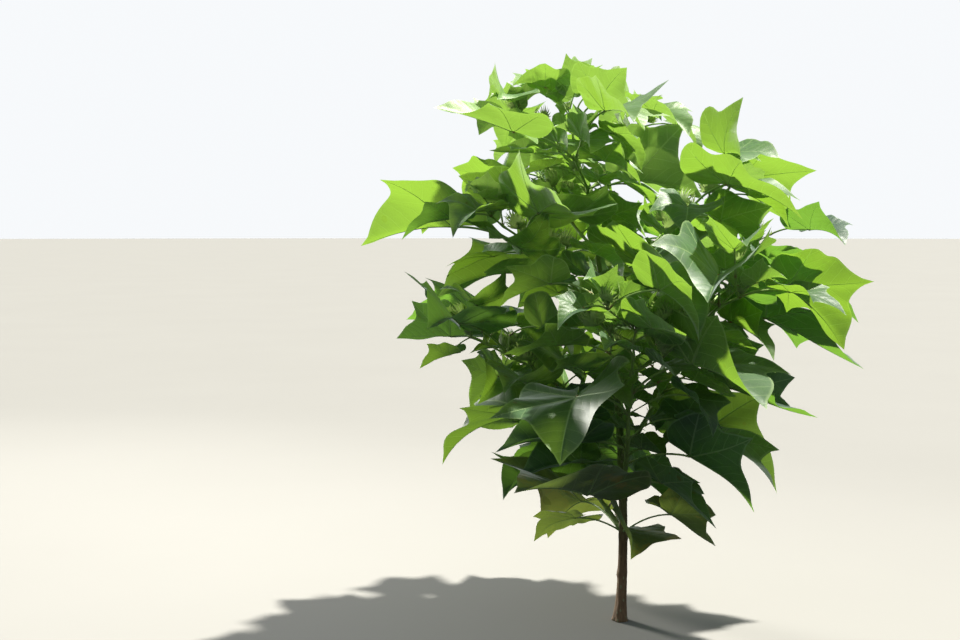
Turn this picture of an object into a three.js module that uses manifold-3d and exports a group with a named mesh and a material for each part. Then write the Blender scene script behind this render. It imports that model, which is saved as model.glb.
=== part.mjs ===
// Cotton plant in the squaring stage: main stem, boughs and foliage with flower buds.
// Millimetres, +Z up. The origin is at the flat cut of the main stem, at ground level.

import * as THREE from 'three';
import * as BufferGeometryUtils from 'three/addons/utils/BufferGeometryUtils.js';
import Module from 'manifold-3d';

const wasm = await Module();
wasm.setup();

// Main stem: its line leans over and bows, and its foot flares at the ground
const STEM_HEIGHT = 572;
const STEM_FOOT_RADIUS = 6.2;
const STEM_TIP_RADIUS = 2.0;
const FLARE_RADIUS = 3.6;
const FLARE_HEIGHT = 16;
const STEM_LEAN = 58;
const STEM_BOW = 13;
const STEM_BOW_DEPTH_SHARE = 0.6;
const STEM_BOW_TURN = 2.2;
const STEM_SIDES = 10;
const STEM_RINGS = 18;
const STEM_RING_CROWDING = 1.35;

// Nodes up the main stem, where leaves and branches leave it
const NODE_COUNT = 14;
const FIRST_NODE_HEIGHT = 58;
const LONGEST_INTERNODE = 46;
const SHORTEST_INTERNODE = 22;
const FIRST_LEAF_NODE = 2;
const FIRST_FRUITING_NODE = 5;
const NODE_TURN = radians(135);
const FIRST_TURN = radians(-160);
const BRANCH_SIDE_STEP = radians(24);
const BRANCH_LEAF_RISE = radians(30);
const TURN_JITTER = 0.16;
const BRANCH_RISE_ABOVE_LEAF = 8;
const LOWEST_LEAF_RISE = radians(14);
const LEAF_RISE_GAIN = radians(26);

// Vegetative branches low on the stem, with short side twigs toward their ends
const VEGETATIVE_BOUGH_LENGTH = 118;
const VEGETATIVE_TWIG_LENGTH = 170;
const VEGETATIVE_ELEVATION = radians(44);
const VEGETATIVE_RADIUS = 3.1;
const VEGETATIVE_LEAVES = 6;
const VEGETATIVE_SHARE_STEP = 0.09;
const VEGETATIVE_TWIG_LIFT = 0.3;
const FIRST_SIDE_TWIG = 3;
const SIDE_TWIG_LENGTH = 52;
const SIDE_TWIG_RADIUS = 1.2;

// Fruiting branches, each a zigzag of up to four internodes beyond the bough.
// They are longest at the peak node and shorten from there to the top.
const FRUITING_BOUGH_LENGTH = 92;
const FRUITING_TWIG_LENGTH = 138;
const FRUITING_ELEVATION = radians(27);
const FRUITING_RADIUS = 2.3;
const FRUITING_LEAVES = 4;
const FRUITING_TWIG_LIFT = 0.06;
const FRUITING_RISE_PER_NODE = 0.035;
const PEAK_NODE = 7;
const SHARE_STEP_BELOW_PEAK = 0.06;
const SHARE_LOSS_AT_TOP = 0.68;
const BOUGH_DIP = 0.14;
const BOUGH_TAPER = 0.78;
const BOUGH_STEPS = 3;
const BOUGH_SIDES = 5;
const ZIGZAG = radians(17);
const TWIG_JITTER = 0.08;
const TWIG_TIP_RADIUS = 1.1;
const TWIG_SIDES = 5;

// Shoot tip
const TIP_TWIG_LENGTH = 34;
const TIP_AZIMUTH = radians(150);
const TIP_ELEVATION = radians(80);
const TIP_LEAVES = 5;
const TIP_LEAF_RISE = radians(38);
const TIP_LEAF_RISE_STEP = radians(7);
const TIP_LEAF_SHARE = 0.56;
const TIP_LEAF_SHARE_STEP = 0.09;

// Leaves
const LARGEST_BLADE = 138;
const PETIOLE_SHARE = 0.86;
const PETIOLE_RADIUS = 1.5;
const PETIOLE_SIDES = 3;
const PETIOLE_SUNK = 2.5;
const PETIOLE_STEPS = 4;
const BLADE_THICKNESS_SHARE = 0.013;
const BLADE_RAYS = [0, 28, 50, 84, 116, 154, 180, 206, 244, 276, 310, 332];
const BLADE_MIDDLE = 0.13;
const BLADE_RINGS = [0.5, 1];
const SMALLEST_BLADE_SHARE = 0.42;

// Leaves turn their faces toward the light, some more than others
const LIGHT = heading(radians(40), radians(54));
const LEAST_PULL = 0.25;
const MOST_PULL = 0.75;

// Squares: flower buds, each in three toothed bracts
const SQUARE_LENGTH = 36;
const SQUARES_PER_BRANCH = 2;
const PEDICEL_LENGTH = 17;
const PEDICEL_RADIUS = 1.2;
const BUD_RADIUS = 6;
const BUD_SHAPE = [0, 0.9, 0.8, 0];
const BUD_STEP_SHARE = 0.2;
const BUD_SIDES = 5;
const BRACT_THICKNESS = 0.8;
const BRACT_TEETH = 4;
const BRACT_VALLEY = 0.66;
const BRACT_MIDDLE = 0.3;
const BRACT_WIDTH_SHARE = 0.8;
const BRACT_HALF_SPREAD = radians(74);
const SQUARE_MARGIN_SHARE = 0.4;

// Clearances
const GAP = 0.3;
const CUT_WIDTH = 100;
const CUT_DEPTH = 40;
const FOOT_OVERRUN = 6;
const BLADE_MARGIN = 5.2;
const STEM_MARGIN = 6;
const LIMB_MARGIN = 2;
const LIMB_STEP = 5;
const FREE_START = 20;
const GROUND_MARGIN = 9;
const TRIES = 64;
const CLOUD_RINGS = 7;

const LIMB_GREEN = 0x6f9440;
const STEM_BROWN = 0x7c6a45;
const LEAF_GREENS = [0x86b63a, 0x74a83c, 0x5f9440, 0x98c447];
const BARK_ROUGHNESS = 0.75;
const LEAF_ROUGHNESS = 0.5;

function radians(degrees) {
  return degrees * Math.PI / 180;
}

// The same numbers come from the same seed each time.
function seeded(seed) {
  let state = (seed * 2654435761 + 12345) % 4294967296;
  const next = () => {
    state = (state * 1664525 + 1013904223) % 4294967296;
    return state / 4294967296;
  };
  next();
  next();
  return next;
}

function between(random, low, high) {
  return low + (high - low) * random();
}

function heading(azimuth, elevation) {
  return new THREE.Vector3(
    Math.cos(elevation) * Math.cos(azimuth),
    Math.cos(elevation) * Math.sin(azimuth),
    Math.sin(elevation),
  );
}

function along(start, direction, distance) {
  return start.clone().addScaledVector(direction, distance);
}

// Points of a limb that leaves at one heading and is bent to its end, for a tube or a test.
function bentLine(start, middle, end, steps) {
  return new THREE.QuadraticBezierCurve3(start, middle, end).getPoints(steps);
}

// Main stem line and thickness
function stemPoint(height) {
  const share = height / STEM_HEIGHT;
  const lean = -STEM_LEAN * share ** 1.5;
  const bow = STEM_BOW * Math.sin(Math.PI * share);
  const depth = -bow * STEM_BOW_DEPTH_SHARE * Math.cos(STEM_BOW_TURN * share);
  return new THREE.Vector3(lean + bow, depth, height);
}

function bentStem() {
  return [0, 0.25, 0.5, 0.75, 1].map((share) => stemPoint(share * STEM_HEIGHT));
}

function stemRadius(height) {
  const share = height / STEM_HEIGHT;
  const taper = STEM_FOOT_RADIUS + (STEM_TIP_RADIUS - STEM_FOOT_RADIUS) * share ** 0.85;
  return taper + FLARE_RADIUS * Math.exp(-height / FLARE_HEIGHT);
}

function nodeHeight(node) {
  let height = FIRST_NODE_HEIGHT;
  for (let step = 1; step < node; step += 1) {
    const share = (step / NODE_COUNT) ** 2;
    height += LONGEST_INTERNODE + (SHORTEST_INTERNODE - LONGEST_INTERNODE) * share;
  }
  return height;
}

function nodeAzimuth(node) {
  const random = seeded(node + 40);
  return FIRST_TURN + NODE_TURN * node + between(random, -TURN_JITTER, TURN_JITTER);
}

// Blade length of the main stem's leaf at a node: largest half way up, small at the top
function bladeLength(node) {
  const share = node / NODE_COUNT;
  return LARGEST_BLADE * (0.42 + 0.58 * Math.sin(Math.PI * Math.min(1, 0.14 + 0.86 * share)));
}

// Blade outline: distance of the margin from the petiole's joint, as a share of the length.
// A long middle lobe, two side lobes and two weak ones at the heart-shaped base.
function outlineRadius(blade, angle) {
  const turn = Math.abs(Math.atan2(Math.sin(angle), Math.cos(angle)));
  const side = angle > Math.PI || angle < 0 ? blade.leftSide : blade.rightSide;
  const body = 0.5;
  const middle = (1 - body) * Math.exp(-turn / radians(18));
  const offLobe = Math.abs(turn - radians(50)) / radians(11.5);
  const lobe = 0.31 * blade.lobing * side * Math.exp(-offLobe);
  const foot = 0.08 * side * Math.exp(-Math.abs(turn - radians(110)) / radians(16));
  const notch = 1 - Math.exp(-(Math.PI - turn) / radians(13));
  return 0.05 + (body - 0.05 + middle + lobe + foot) * notch;
}

// A point of the blade from its plan place (shares of the length) and its lift off the middle.
function bladePoint(blade, x, y, lift) {
  const angle = Math.atan2(y, x);
  const radius = Math.hypot(x, y);
  const side = Math.sqrt(y * y + 0.0012) - 0.0346;
  const ruffle = blade.wave * radius * radius * Math.sin(blade.ruffles * angle + blade.phase);
  const height = blade.fold * side - blade.cup * y * y + ruffle + lift;
  const twist = blade.twist * x;
  const across = y * Math.cos(twist) - height * Math.sin(twist);
  const raised = y * Math.sin(twist) + height * Math.cos(twist);
  const bend = blade.droop * x;
  const forward = Math.sin(bend) / blade.droop + raised * Math.sin(bend);
  const upward = (Math.cos(bend) - 1) / blade.droop + raised * Math.cos(bend);
  return blade.joint.clone()
    .addScaledVector(blade.forward, forward * blade.length)
    .addScaledVector(blade.side, across * blade.length)
    .addScaledVector(blade.up, upward * blade.length);
}

// One way for a leaf to grow from its anchor, spread further from its place with each try
function leafPlan(anchor, azimuth, elevation, length, random, attempt) {
  const spread = radians(10 + 1.7 * attempt);
  const turn = azimuth + between(random, -spread, spread);
  const rise = elevation + between(random, -spread, spread) * 0.45;
  const size = length * (1 - (1 - SMALLEST_BLADE_SHARE) * attempt / TRIES);
  const petioleLength = size * PETIOLE_SHARE * between(random, 0.82, 1.16);
  const middle = along(anchor, heading(turn, rise + 0.22), petioleLength * 0.55);
  const joint = along(anchor, heading(turn, rise - 0.12), petioleLength);
  const faceTurn = turn + between(random, -0.45, 0.45);
  const pitch = radians(between(random, -12, 40));
  const roll = radians(between(random, -34, 34));
  const ahead = heading(faceTurn, -pitch);
  const upright = heading(faceTurn, Math.PI / 2 - pitch);
  const level = upright.clone().cross(ahead);
  const up = upright.multiplyScalar(Math.cos(roll)).addScaledVector(level, Math.sin(roll));
  up.lerp(LIGHT, between(random, LEAST_PULL, MOST_PULL)).normalize();
  const forward = ahead.addScaledVector(up, -ahead.dot(up)).normalize();
  const side = up.clone().cross(forward);
  return {
    petiole: [anchor, middle, joint],
    blade: {
      joint,
      forward,
      side,
      up,
      length: size,
      fold: between(random, 0.25, 1),
      cup: between(random, -0.2, 0.3),
      wave: between(random, 0.04, 0.12),
      ruffles: 4 + Math.floor(random() * 3),
      phase: between(random, 0, 2 * Math.PI),
      twist: between(random, -0.6, 0.6),
      droop: between(random, 0.15, 0.85),
      lobing: between(random, 0.6, 1.15),
      leftSide: between(random, 0.88, 1.06),
      rightSide: between(random, 0.88, 1.06),
    },
  };
}

// Space that is taken: points with the margin that each keeps round it
const taken = [];

function marked(points, margin) {
  return points.map((point) => ({ point, margin }));
}

function take(marks) {
  taken.push(...marks);
}

function isFree(marks) {
  return marks.every(({ point, margin }) => {
    if (point.z < GROUND_MARGIN) {
      return false;
    }
    return taken.every((other) => {
      const reach = margin + other.margin;
      return point.distanceToSquared(other.point) > reach * reach;
    });
  });
}

// Evenly spaced points down a line of points
function spaced(points, step) {
  const found = [];
  for (let index = 1; index < points.length; index += 1) {
    const [from, to] = [points[index - 1], points[index]];
    const count = Math.ceil(from.distanceTo(to) / step);
    for (let part = 0; part < count; part += 1) {
      found.push(from.clone().lerp(to, part / count));
    }
  }
  found.push(points[points.length - 1].clone());
  return found;
}

function petioleMarks(plan) {
  const [start, middle, end] = plan.petiole;
  const points = spaced(bentLine(start, middle, end, PETIOLE_STEPS), LIMB_STEP);
  return marked(points, PETIOLE_RADIUS + LIMB_MARGIN);
}

function bladeMarks(blade) {
  const points = [blade.joint.clone()];
  for (let ring = 1; ring <= CLOUD_RINGS; ring += 1) {
    for (let place = 0; place < 6 * ring; place += 1) {
      const angle = 2 * Math.PI * place / (6 * ring);
      const radius = outlineRadius(blade, angle) * ring / CLOUD_RINGS;
      points.push(bladePoint(blade, radius * Math.cos(angle), radius * Math.sin(angle), 0));
    }
  }
  return marked(points, BLADE_MARGIN);
}

// Finds room for a leaf, or gives nothing when no try is clear
function growLeaf(anchor, azimuth, elevation, length, seed) {
  const random = seeded(seed);
  for (let attempt = 0; attempt < TRIES; attempt += 1) {
    const plan = leafPlan(anchor, azimuth, elevation, length, random, attempt);
    const stalk = petioleMarks(plan);
    const face = bladeMarks(plan.blade);
    const away = [...stalk, ...face].filter(({ point }) => point.distanceTo(anchor) > FREE_START);
    if (isFree(away)) {
      take([...stalk, ...face]);
      return plan;
    }
  }
  return null;
}

// Finds room for a square, or gives nothing when no try is clear
function growSquare(anchor, azimuth, elevation, share, seed) {
  const random = seeded(seed);
  for (let attempt = 0; attempt < TRIES; attempt += 1) {
    const spread = 0.3 + 0.1 * attempt;
    const turn = azimuth + between(random, -spread, spread);
    const axis = heading(turn, elevation + between(random, -0.25, 0.25));
    const length = SQUARE_LENGTH * share;
    const foot = along(anchor, axis, PEDICEL_LENGTH * share);
    const heart = [0.2, 0.5, 0.8].map((place) => along(foot, axis, length * place));
    const body = marked(heart, length * SQUARE_MARGIN_SHARE);
    if (isFree(body)) {
      take(body);
      take(marked(spaced([anchor, foot], LIMB_STEP), PEDICEL_RADIUS + LIMB_MARGIN));
      return { anchor, foot, axis, length, turn: between(random, 0, 2 * Math.PI) };
    }
  }
  return null;
}

// Zigzag twig: nodes beyond the bough's tip, each internode shorter than the one before
function twigNodes(start, sizes, seed) {
  const random = seeded(seed);
  const count = sizes.leafCount;
  const weights = Array.from({ length: count }, (_, index) => 1 - 0.55 * index / count);
  const total = weights.reduce((sum, weight) => sum + weight, 0);
  const nodes = [start];
  weights.forEach((weight, index) => {
    const last = nodes[nodes.length - 1].point;
    const swing = (index % 2 ? 1 : -1) * sizes.zigzag;
    const turn = start.azimuth + swing + between(random, -TWIG_JITTER, TWIG_JITTER);
    const level = start.elevation * (1 - 0.25 * index / count);
    const rise = level + between(random, -TWIG_JITTER, TWIG_JITTER);
    const next = along(last, heading(turn, rise), sizes.twigLength * weight / total);
    nodes.push({ point: next, azimuth: turn, elevation: rise });
  });
  return nodes;
}

// Size of the branch at a node, as a share of the longest of its kind
function branchShare(node) {
  if (node < FIRST_FRUITING_NODE) {
    return 1 - VEGETATIVE_SHARE_STEP * (FIRST_FRUITING_NODE - 1 - node);
  }
  if (node <= PEAK_NODE) {
    return 1 - SHARE_STEP_BELOW_PEAK * (PEAK_NODE - node);
  }
  return 1 - SHARE_LOSS_AT_TOP * (node - PEAK_NODE) / (NODE_COUNT - PEAK_NODE);
}

// Sizes of a fruiting branch, which zigzags outward from the stem
function fruitingSizes(node, share) {
  const rise = FRUITING_ELEVATION + FRUITING_RISE_PER_NODE * (node - FIRST_FRUITING_NODE);
  return {
    rise,
    boughLength: share * FRUITING_BOUGH_LENGTH,
    twigLength: share * FRUITING_TWIG_LENGTH,
    fullRadius: FRUITING_RADIUS,
    leafCount: Math.max(2, Math.round(FRUITING_LEAVES * share)),
    zigzag: ZIGZAG,
    twigRise: rise + FRUITING_TWIG_LIFT,
  };
}

// Sizes of a vegetative branch, which rises like a second stem
function vegetativeSizes(share) {
  return {
    rise: VEGETATIVE_ELEVATION,
    boughLength: share * VEGETATIVE_BOUGH_LENGTH,
    twigLength: share * VEGETATIVE_TWIG_LENGTH,
    fullRadius: VEGETATIVE_RADIUS,
    leafCount: VEGETATIVE_LEAVES,
    zigzag: ZIGZAG / 2,
    twigRise: VEGETATIVE_ELEVATION + VEGETATIVE_TWIG_LIFT,
  };
}

// Plans the branch at one node: its bough, and the twig that carries its foliage
function branchPlan(node) {
  const fruiting = node >= FIRST_FRUITING_NODE;
  const share = branchShare(node);
  const sizes = fruiting ? fruitingSizes(node, share) : vegetativeSizes(share);
  const azimuth = nodeAzimuth(node) + BRANCH_SIDE_STEP;
  const radius = sizes.fullRadius * (0.62 + 0.38 * share);
  const root = stemPoint(nodeHeight(node) + BRANCH_RISE_ABOVE_LEAF);
  const elbow = along(root, heading(azimuth, sizes.rise - BOUGH_DIP), sizes.boughLength / 2);
  const tip = along(root, heading(azimuth, sizes.rise), sizes.boughLength);
  const start = { point: tip, azimuth, elevation: sizes.twigRise };
  const nodes = twigNodes(start, sizes, node + 300);
  return {
    node,
    fruiting,
    share,
    radius,
    nodes,
    bough: bentLine(root, elbow, tip, BOUGH_STEPS),
    sides: fruiting ? [] : sideTwigs(nodes, share, node + 400),
    tipRadius: radius * BOUGH_TAPER,
    leaves: [],
    squares: [],
  };
}

// Short side twigs on a vegetative branch, each with a leaf and a square at its end
function sideTwigs(nodes, share, seed) {
  const random = seeded(seed);
  return nodes.slice(FIRST_SIDE_TWIG).map((at, index) => {
    const turn = at.azimuth + (index % 2 ? -1 : 1) * between(random, 0.7, 1);
    const rise = between(random, 0.35, 0.6);
    const length = SIDE_TWIG_LENGTH * share * between(random, 0.8, 1.1);
    const end = along(at.point, heading(turn, rise), length);
    return { start: at.point, point: end, azimuth: turn, elevation: rise };
  });
}

function takeBranch(branch) {
  take(marked(spaced(branch.bough, LIMB_STEP), branch.radius + LIMB_MARGIN));
  const twig = branch.nodes.map(({ point }) => point);
  take(marked(spaced(twig, LIMB_STEP), branch.tipRadius + LIMB_MARGIN));
  branch.sides.forEach(({ start, point }) => {
    take(marked(spaced([start, point], LIMB_STEP), SIDE_TWIG_RADIUS + LIMB_MARGIN));
  });
}

// A square stands in the axil of each leaf on a fruiting branch or a side twig
function addSquares(branch) {
  const places = branch.fruiting
    ? branch.nodes.slice(1, 1 + SQUARES_PER_BRANCH)
    : branch.sides.slice(1);
  places.forEach((at, index) => {
    const size = branch.share ** 0.5 * (1 - 0.14 * index);
    const sideways = at.azimuth + (index % 2 ? -0.9 : 0.9);
    const seed = 500 + branch.node * 10 + index;
    const square = growSquare(at.point, sideways, radians(52), size, seed);
    if (square) {
      branch.squares.push(square);
    }
  });
}

function addLeaves(branch) {
  const full = bladeLength(branch.node);
  [...branch.nodes.slice(1), ...branch.sides].forEach((at, index) => {
    const size = full * (branch.fruiting ? 0.86 - 0.11 * index : 0.94 - 0.055 * index);
    const sideways = at.azimuth + (index % 2 ? 0.75 : -0.75);
    const seed = 900 + branch.node * 10 + index;
    const plan = growLeaf(at.point, sideways, BRANCH_LEAF_RISE, size, seed);
    if (plan) {
      branch.leaves.push(plan);
    }
  });
}

// Solids

function solidFrom(geometry) {
  geometry.deleteAttribute('normal');
  geometry.deleteAttribute('uv');
  const merged = BufferGeometryUtils.mergeVertices(geometry, 1e-4);
  return new wasm.Manifold(new wasm.Mesh({
    numProp: 3,
    vertProperties: new Float32Array(merged.attributes.position.array),
    triVerts: new Uint32Array(merged.index.array),
  }));
}

function joined(solids) {
  return solids.reduce((whole, next) => whole.add(next));
}

// Keeps the one large body and drops the tiny scraps that a cut can leave
function oneBody(solid) {
  const bodies = solid.decompose().sort((a, b) => b.volume() - a.volume());
  const scraps = bodies.slice(1).filter((body) => body.volume() > 1);
  if (scraps.length > 0) {
    throw new Error('a piece has come loose');
  }
  return bodies[0];
}

function meshFrom(name, solid, colour, roughness) {
  const { vertProperties, triVerts } = oneBody(solid).getMesh();
  const geometry = new THREE.BufferGeometry();
  geometry.setAttribute('position', new THREE.BufferAttribute(new Float32Array(vertProperties), 3));
  geometry.setIndex(new THREE.BufferAttribute(new Uint32Array(triVerts), 1));
  geometry.computeVertexNormals();
  const material = new THREE.MeshStandardMaterial({ color: colour, roughness, metalness: 0 });
  const mesh = new THREE.Mesh(geometry, material);
  mesh.name = name;
  return mesh;
}

// A limb: a cylinder whose rings are laid on the points, each with its own radius
function limb(points, radii, sides) {
  const rings = points.length - 1;
  const geometry = new THREE.CylinderGeometry(1, 1, 1, sides, rings);
  const position = geometry.attributes.position;
  const tangents = points.map((point, index) => {
    const from = points[Math.max(0, index - 1)];
    const to = points[Math.min(rings, index + 1)];
    return to.clone().sub(from).normalize();
  });
  const across = [new THREE.Vector3(0, 1, 0).cross(tangents[0])];
  if (across[0].length() < 0.3) {
    across[0] = new THREE.Vector3(1, 0, 0).cross(tangents[0]);
  }
  across[0].normalize();
  for (let ring = 1; ring <= rings; ring += 1) {
    const turned = across[ring - 1].clone();
    turned.addScaledVector(tangents[ring], -turned.dot(tangents[ring]));
    across.push(turned.normalize());
  }
  for (let index = 0; index < position.count; index += 1) {
    const ring = Math.round((position.getY(index) + 0.5) * rings);
    const other = across[ring].clone().cross(tangents[ring]);
    const place = along(points[ring], across[ring], position.getX(index) * radii[ring]);
    place.addScaledVector(other, position.getZ(index) * radii[ring]);
    position.setXYZ(index, place.x, place.y, place.z);
  }
  return solidFrom(geometry);
}

function evenRadii(count, from, to) {
  return Array.from({ length: count }, (_, index) => from + (to - from) * index / (count - 1));
}

// The main stem, or the space round it that other pieces keep clear
function stemSolid(clearance) {
  const points = [new THREE.Vector3(0, 0, -FOOT_OVERRUN)];
  const radii = [stemRadius(0) + clearance];
  for (let ring = 0; ring <= STEM_RINGS; ring += 1) {
    const height = STEM_HEIGHT * (ring / STEM_RINGS) ** STEM_RING_CROWDING;
    points.push(stemPoint(height));
    radii.push(stemRadius(height) + clearance);
  }
  const solid = limb(points, radii, STEM_SIDES);
  return clearance > 0 ? solid : solid.subtract(belowGround());
}

// What the flat cut at ground level takes off the foot
function belowGround() {
  const box = new THREE.BoxGeometry(CUT_WIDTH, CUT_WIDTH, CUT_DEPTH);
  box.translate(0, 0, -CUT_DEPTH / 2);
  return solidFrom(box);
}

// Thin solid between an upper and a lower sheet, over rays that meet at the centre
function sheetSolid(rays, rings, place) {
  const positions = [];
  const index = [];
  const layer = 1 + rays * rings;
  for (const lift of [1, -1]) {
    positions.push(...place(0, 0, lift).toArray());
    for (let ray = 0; ray < rays; ray += 1) {
      for (let ring = 1; ring <= rings; ring += 1) {
        positions.push(...place(ray, ring, lift).toArray());
      }
    }
  }
  const at = (ray, ring, low) => (low ? layer : 0) + 1 + (ray % rays) * rings + ring - 1;
  for (let ray = 0; ray < rays; ray += 1) {
    index.push(0, at(ray, 1, false), at(ray + 1, 1, false));
    index.push(layer, at(ray + 1, 1, true), at(ray, 1, true));
    for (let ring = 1; ring < rings; ring += 1) {
      const [a, b] = [at(ray, ring, false), at(ray, ring + 1, false)];
      const [c, d] = [at(ray + 1, ring + 1, false), at(ray + 1, ring, false)];
      index.push(a, b, c, a, c, d);
      index.push(a + layer, c + layer, b + layer, a + layer, d + layer, c + layer);
    }
    const [top, nextTop] = [at(ray, rings, false), at(ray + 1, rings, false)];
    index.push(top, top + layer, nextTop + layer, top, nextTop + layer, nextTop);
  }
  const geometry = new THREE.BufferGeometry();
  geometry.setAttribute('position', new THREE.BufferAttribute(new Float32Array(positions), 3));
  geometry.setIndex(index);
  return solidFrom(geometry);
}

function bladeSolid(blade) {
  const half = BLADE_THICKNESS_SHARE / 2;
  return sheetSolid(BLADE_RAYS.length, BLADE_RINGS.length, (ray, ring, lift) => {
    if (ring === 0) {
      return bladePoint(blade, BLADE_MIDDLE, 0, lift * half);
    }
    const angle = radians(BLADE_RAYS[ray]);
    const radius = outlineRadius(blade, angle) * BLADE_RINGS[ring - 1];
    return bladePoint(blade, radius * Math.cos(angle), radius * Math.sin(angle), lift * half);
  });
}

// A leaf: its petiole runs on into the blade, so that the two are one body
function leafSolid({ petiole, blade }) {
  const [start, middle, end] = petiole;
  const points = bentLine(start, middle, end, PETIOLE_STEPS);
  const sunk = end.clone().sub(middle).normalize();
  points[PETIOLE_STEPS].addScaledVector(sunk, PETIOLE_SUNK);
  const radii = evenRadii(points.length, PETIOLE_RADIUS, PETIOLE_RADIUS * 0.85);
  return limb(points, radii, PETIOLE_SIDES).add(bladeSolid(blade));
}

// A place on a bract's edge, up and across as shares of its length: tooth tips and valleys
function bractEdge(share, valley) {
  const reach = (valley ? BRACT_VALLEY : 1) * (1 - 0.42 * Math.abs(share) ** 1.5);
  const swing = share * BRACT_HALF_SPREAD;
  return [reach * Math.cos(swing), BRACT_WIDTH_SHARE * reach * Math.sin(swing)];
}

// How far a bract stands off the bud's axis: full at mid height, drawn in at its sides and tip
function bractBulge(up, across) {
  const belly = 0.14 + 0.2 * Math.sin(Math.PI * Math.min(1, 0.1 + 0.8 * up));
  return Math.max(0.05, belly - 0.3 * across * across);
}

// One bract: a cupped sheet round the bud that ends in long teeth
function bractSolid(square, number) {
  const turn = square.turn + number * 2 * Math.PI / 3;
  const level = new THREE.Vector3(0, 0, 1).cross(square.axis).normalize();
  const upper = square.axis.clone().cross(level);
  const outward = level.multiplyScalar(Math.cos(turn)).addScaledVector(upper, Math.sin(turn));
  const sideways = square.axis.clone().cross(outward);
  const rays = 2 * BRACT_TEETH - 1;
  return sheetSolid(rays, 1, (ray, ring, lift) => {
    const share = ray / (rays - 1) * 2 - 1;
    const [up, across] = ring === 0 ? [BRACT_MIDDLE, 0] : bractEdge(share, ray % 2 === 1);
    const out = bractBulge(up, across) * square.length + lift * BRACT_THICKNESS / 2;
    return along(square.foot, square.axis, up * square.length)
      .addScaledVector(sideways, across * square.length)
      .addScaledVector(outward, out);
  });
}

function squareSolid(square) {
  const sunk = along(square.foot, square.axis, square.length * 0.2);
  const stalk = limb([square.anchor, square.foot, sunk], [PEDICEL_RADIUS, PEDICEL_RADIUS, 1.6], 3);
  const profile = BUD_SHAPE.map((share, index) => {
    const radius = share * BUD_RADIUS * square.length / SQUARE_LENGTH;
    return new THREE.Vector2(radius, index * square.length * BUD_STEP_SHARE);
  });
  const bud = new THREE.LatheGeometry(profile, BUD_SIDES);
  const upright = new THREE.Vector3(0, 1, 0);
  bud.applyQuaternion(new THREE.Quaternion().setFromUnitVectors(upright, square.axis));
  bud.translate(square.foot.x, square.foot.y, square.foot.z);
  const bracts = [0, 1, 2].map((number) => bractSolid(square, number));
  return joined([stalk, solidFrom(bud), ...bracts]);
}

// The shoot tip: a short twig on the stem's end with the youngest leaves
function shootTipPlan() {
  const start = stemPoint(STEM_HEIGHT);
  const end = along(start, heading(TIP_AZIMUTH, TIP_ELEVATION), TIP_TWIG_LENGTH);
  const leaves = [];
  for (let number = 0; number < TIP_LEAVES; number += 1) {
    const anchor = start.clone().lerp(end, 0.3 + 0.7 * number / (TIP_LEAVES - 1));
    const rise = TIP_LEAF_RISE + TIP_LEAF_RISE_STEP * number;
    const size = LARGEST_BLADE * (TIP_LEAF_SHARE - TIP_LEAF_SHARE_STEP * number);
    const plan = growLeaf(anchor, nodeAzimuth(NODE_COUNT + number), rise, size, 1500 + number);
    if (plan) {
      leaves.push(plan);
    }
  }
  return { start, end, leaves };
}

function stemLeafPlan(node) {
  const rise = LOWEST_LEAF_RISE + LEAF_RISE_GAIN * node / NODE_COUNT;
  const anchor = stemPoint(nodeHeight(node));
  return growLeaf(anchor, nodeAzimuth(node), rise, bladeLength(node), 700 + node);
}

// Growing the plant: limbs first, then squares, then the leaves that find room, from the top down
take(marked(spaced(bentStem(), LIMB_STEP), STEM_MARGIN));
const branches = [];
for (let node = FIRST_LEAF_NODE; node < NODE_COUNT; node += 1) {
  branches.push(branchPlan(node));
}
branches.forEach(takeBranch);
branches.forEach(addSquares);
const shootTip = shootTipPlan();
const stemLeaves = [];
for (let node = NODE_COUNT - 1; node >= FIRST_LEAF_NODE; node -= 1) {
  const plan = stemLeafPlan(node);
  if (plan) {
    stemLeaves.push({ node, plan });
  }
  addLeaves(branches[node - FIRST_LEAF_NODE]);
}

// Assembling the named pieces
const plant = new THREE.Group();
const stemSpace = stemSolid(GAP);

function twoDigits(number) {
  return String(number).padStart(2, '0');
}

function boughSolid(branch, clearance) {
  const radii = evenRadii(branch.bough.length, branch.radius + clearance, branch.tipRadius + clearance);
  return limb(branch.bough, radii, BOUGH_SIDES);
}

plant.add(meshFrom('main_stem', stemSolid(0), STEM_BROWN, BARK_ROUGHNESS));

branches.forEach((branch) => {
  const kind = branch.fruiting ? 'fruiting' : 'vegetative';
  const number = twoDigits(branch.node);
  const bough = boughSolid(branch, 0).subtract(stemSpace);
  plant.add(meshFrom(`${kind}_bough_${number}`, bough, LIMB_GREEN, BARK_ROUGHNESS));
  const points = branch.nodes.map(({ point }) => point);
  points[0] = along(points[0], points[1].clone().sub(points[0]).normalize(), GAP);
  const twig = limb(points, evenRadii(points.length, branch.tipRadius, TWIG_TIP_RADIUS), TWIG_SIDES);
  const sides = branch.sides.map(({ start, point }) => {
    return limb([start, point], [SIDE_TWIG_RADIUS, SIDE_TWIG_RADIUS * 0.8], 4);
  });
  const parts = [twig, ...sides, ...branch.leaves.map(leafSolid), ...branch.squares.map(squareSolid)];
  const foliage = joined(parts).subtract(boughSolid(branch, GAP));
  const colour = LEAF_GREENS[branch.node % LEAF_GREENS.length];
  plant.add(meshFrom(`${kind}_foliage_${number}`, foliage, colour, LEAF_ROUGHNESS));
});

stemLeaves.forEach(({ node, plan }) => {
  const colour = LEAF_GREENS[(node + 2) % LEAF_GREENS.length];
  const leaf = leafSolid(plan).subtract(stemSpace);
  plant.add(meshFrom(`stem_leaf_${twoDigits(node)}`, leaf, colour, LEAF_ROUGHNESS));
});

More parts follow.
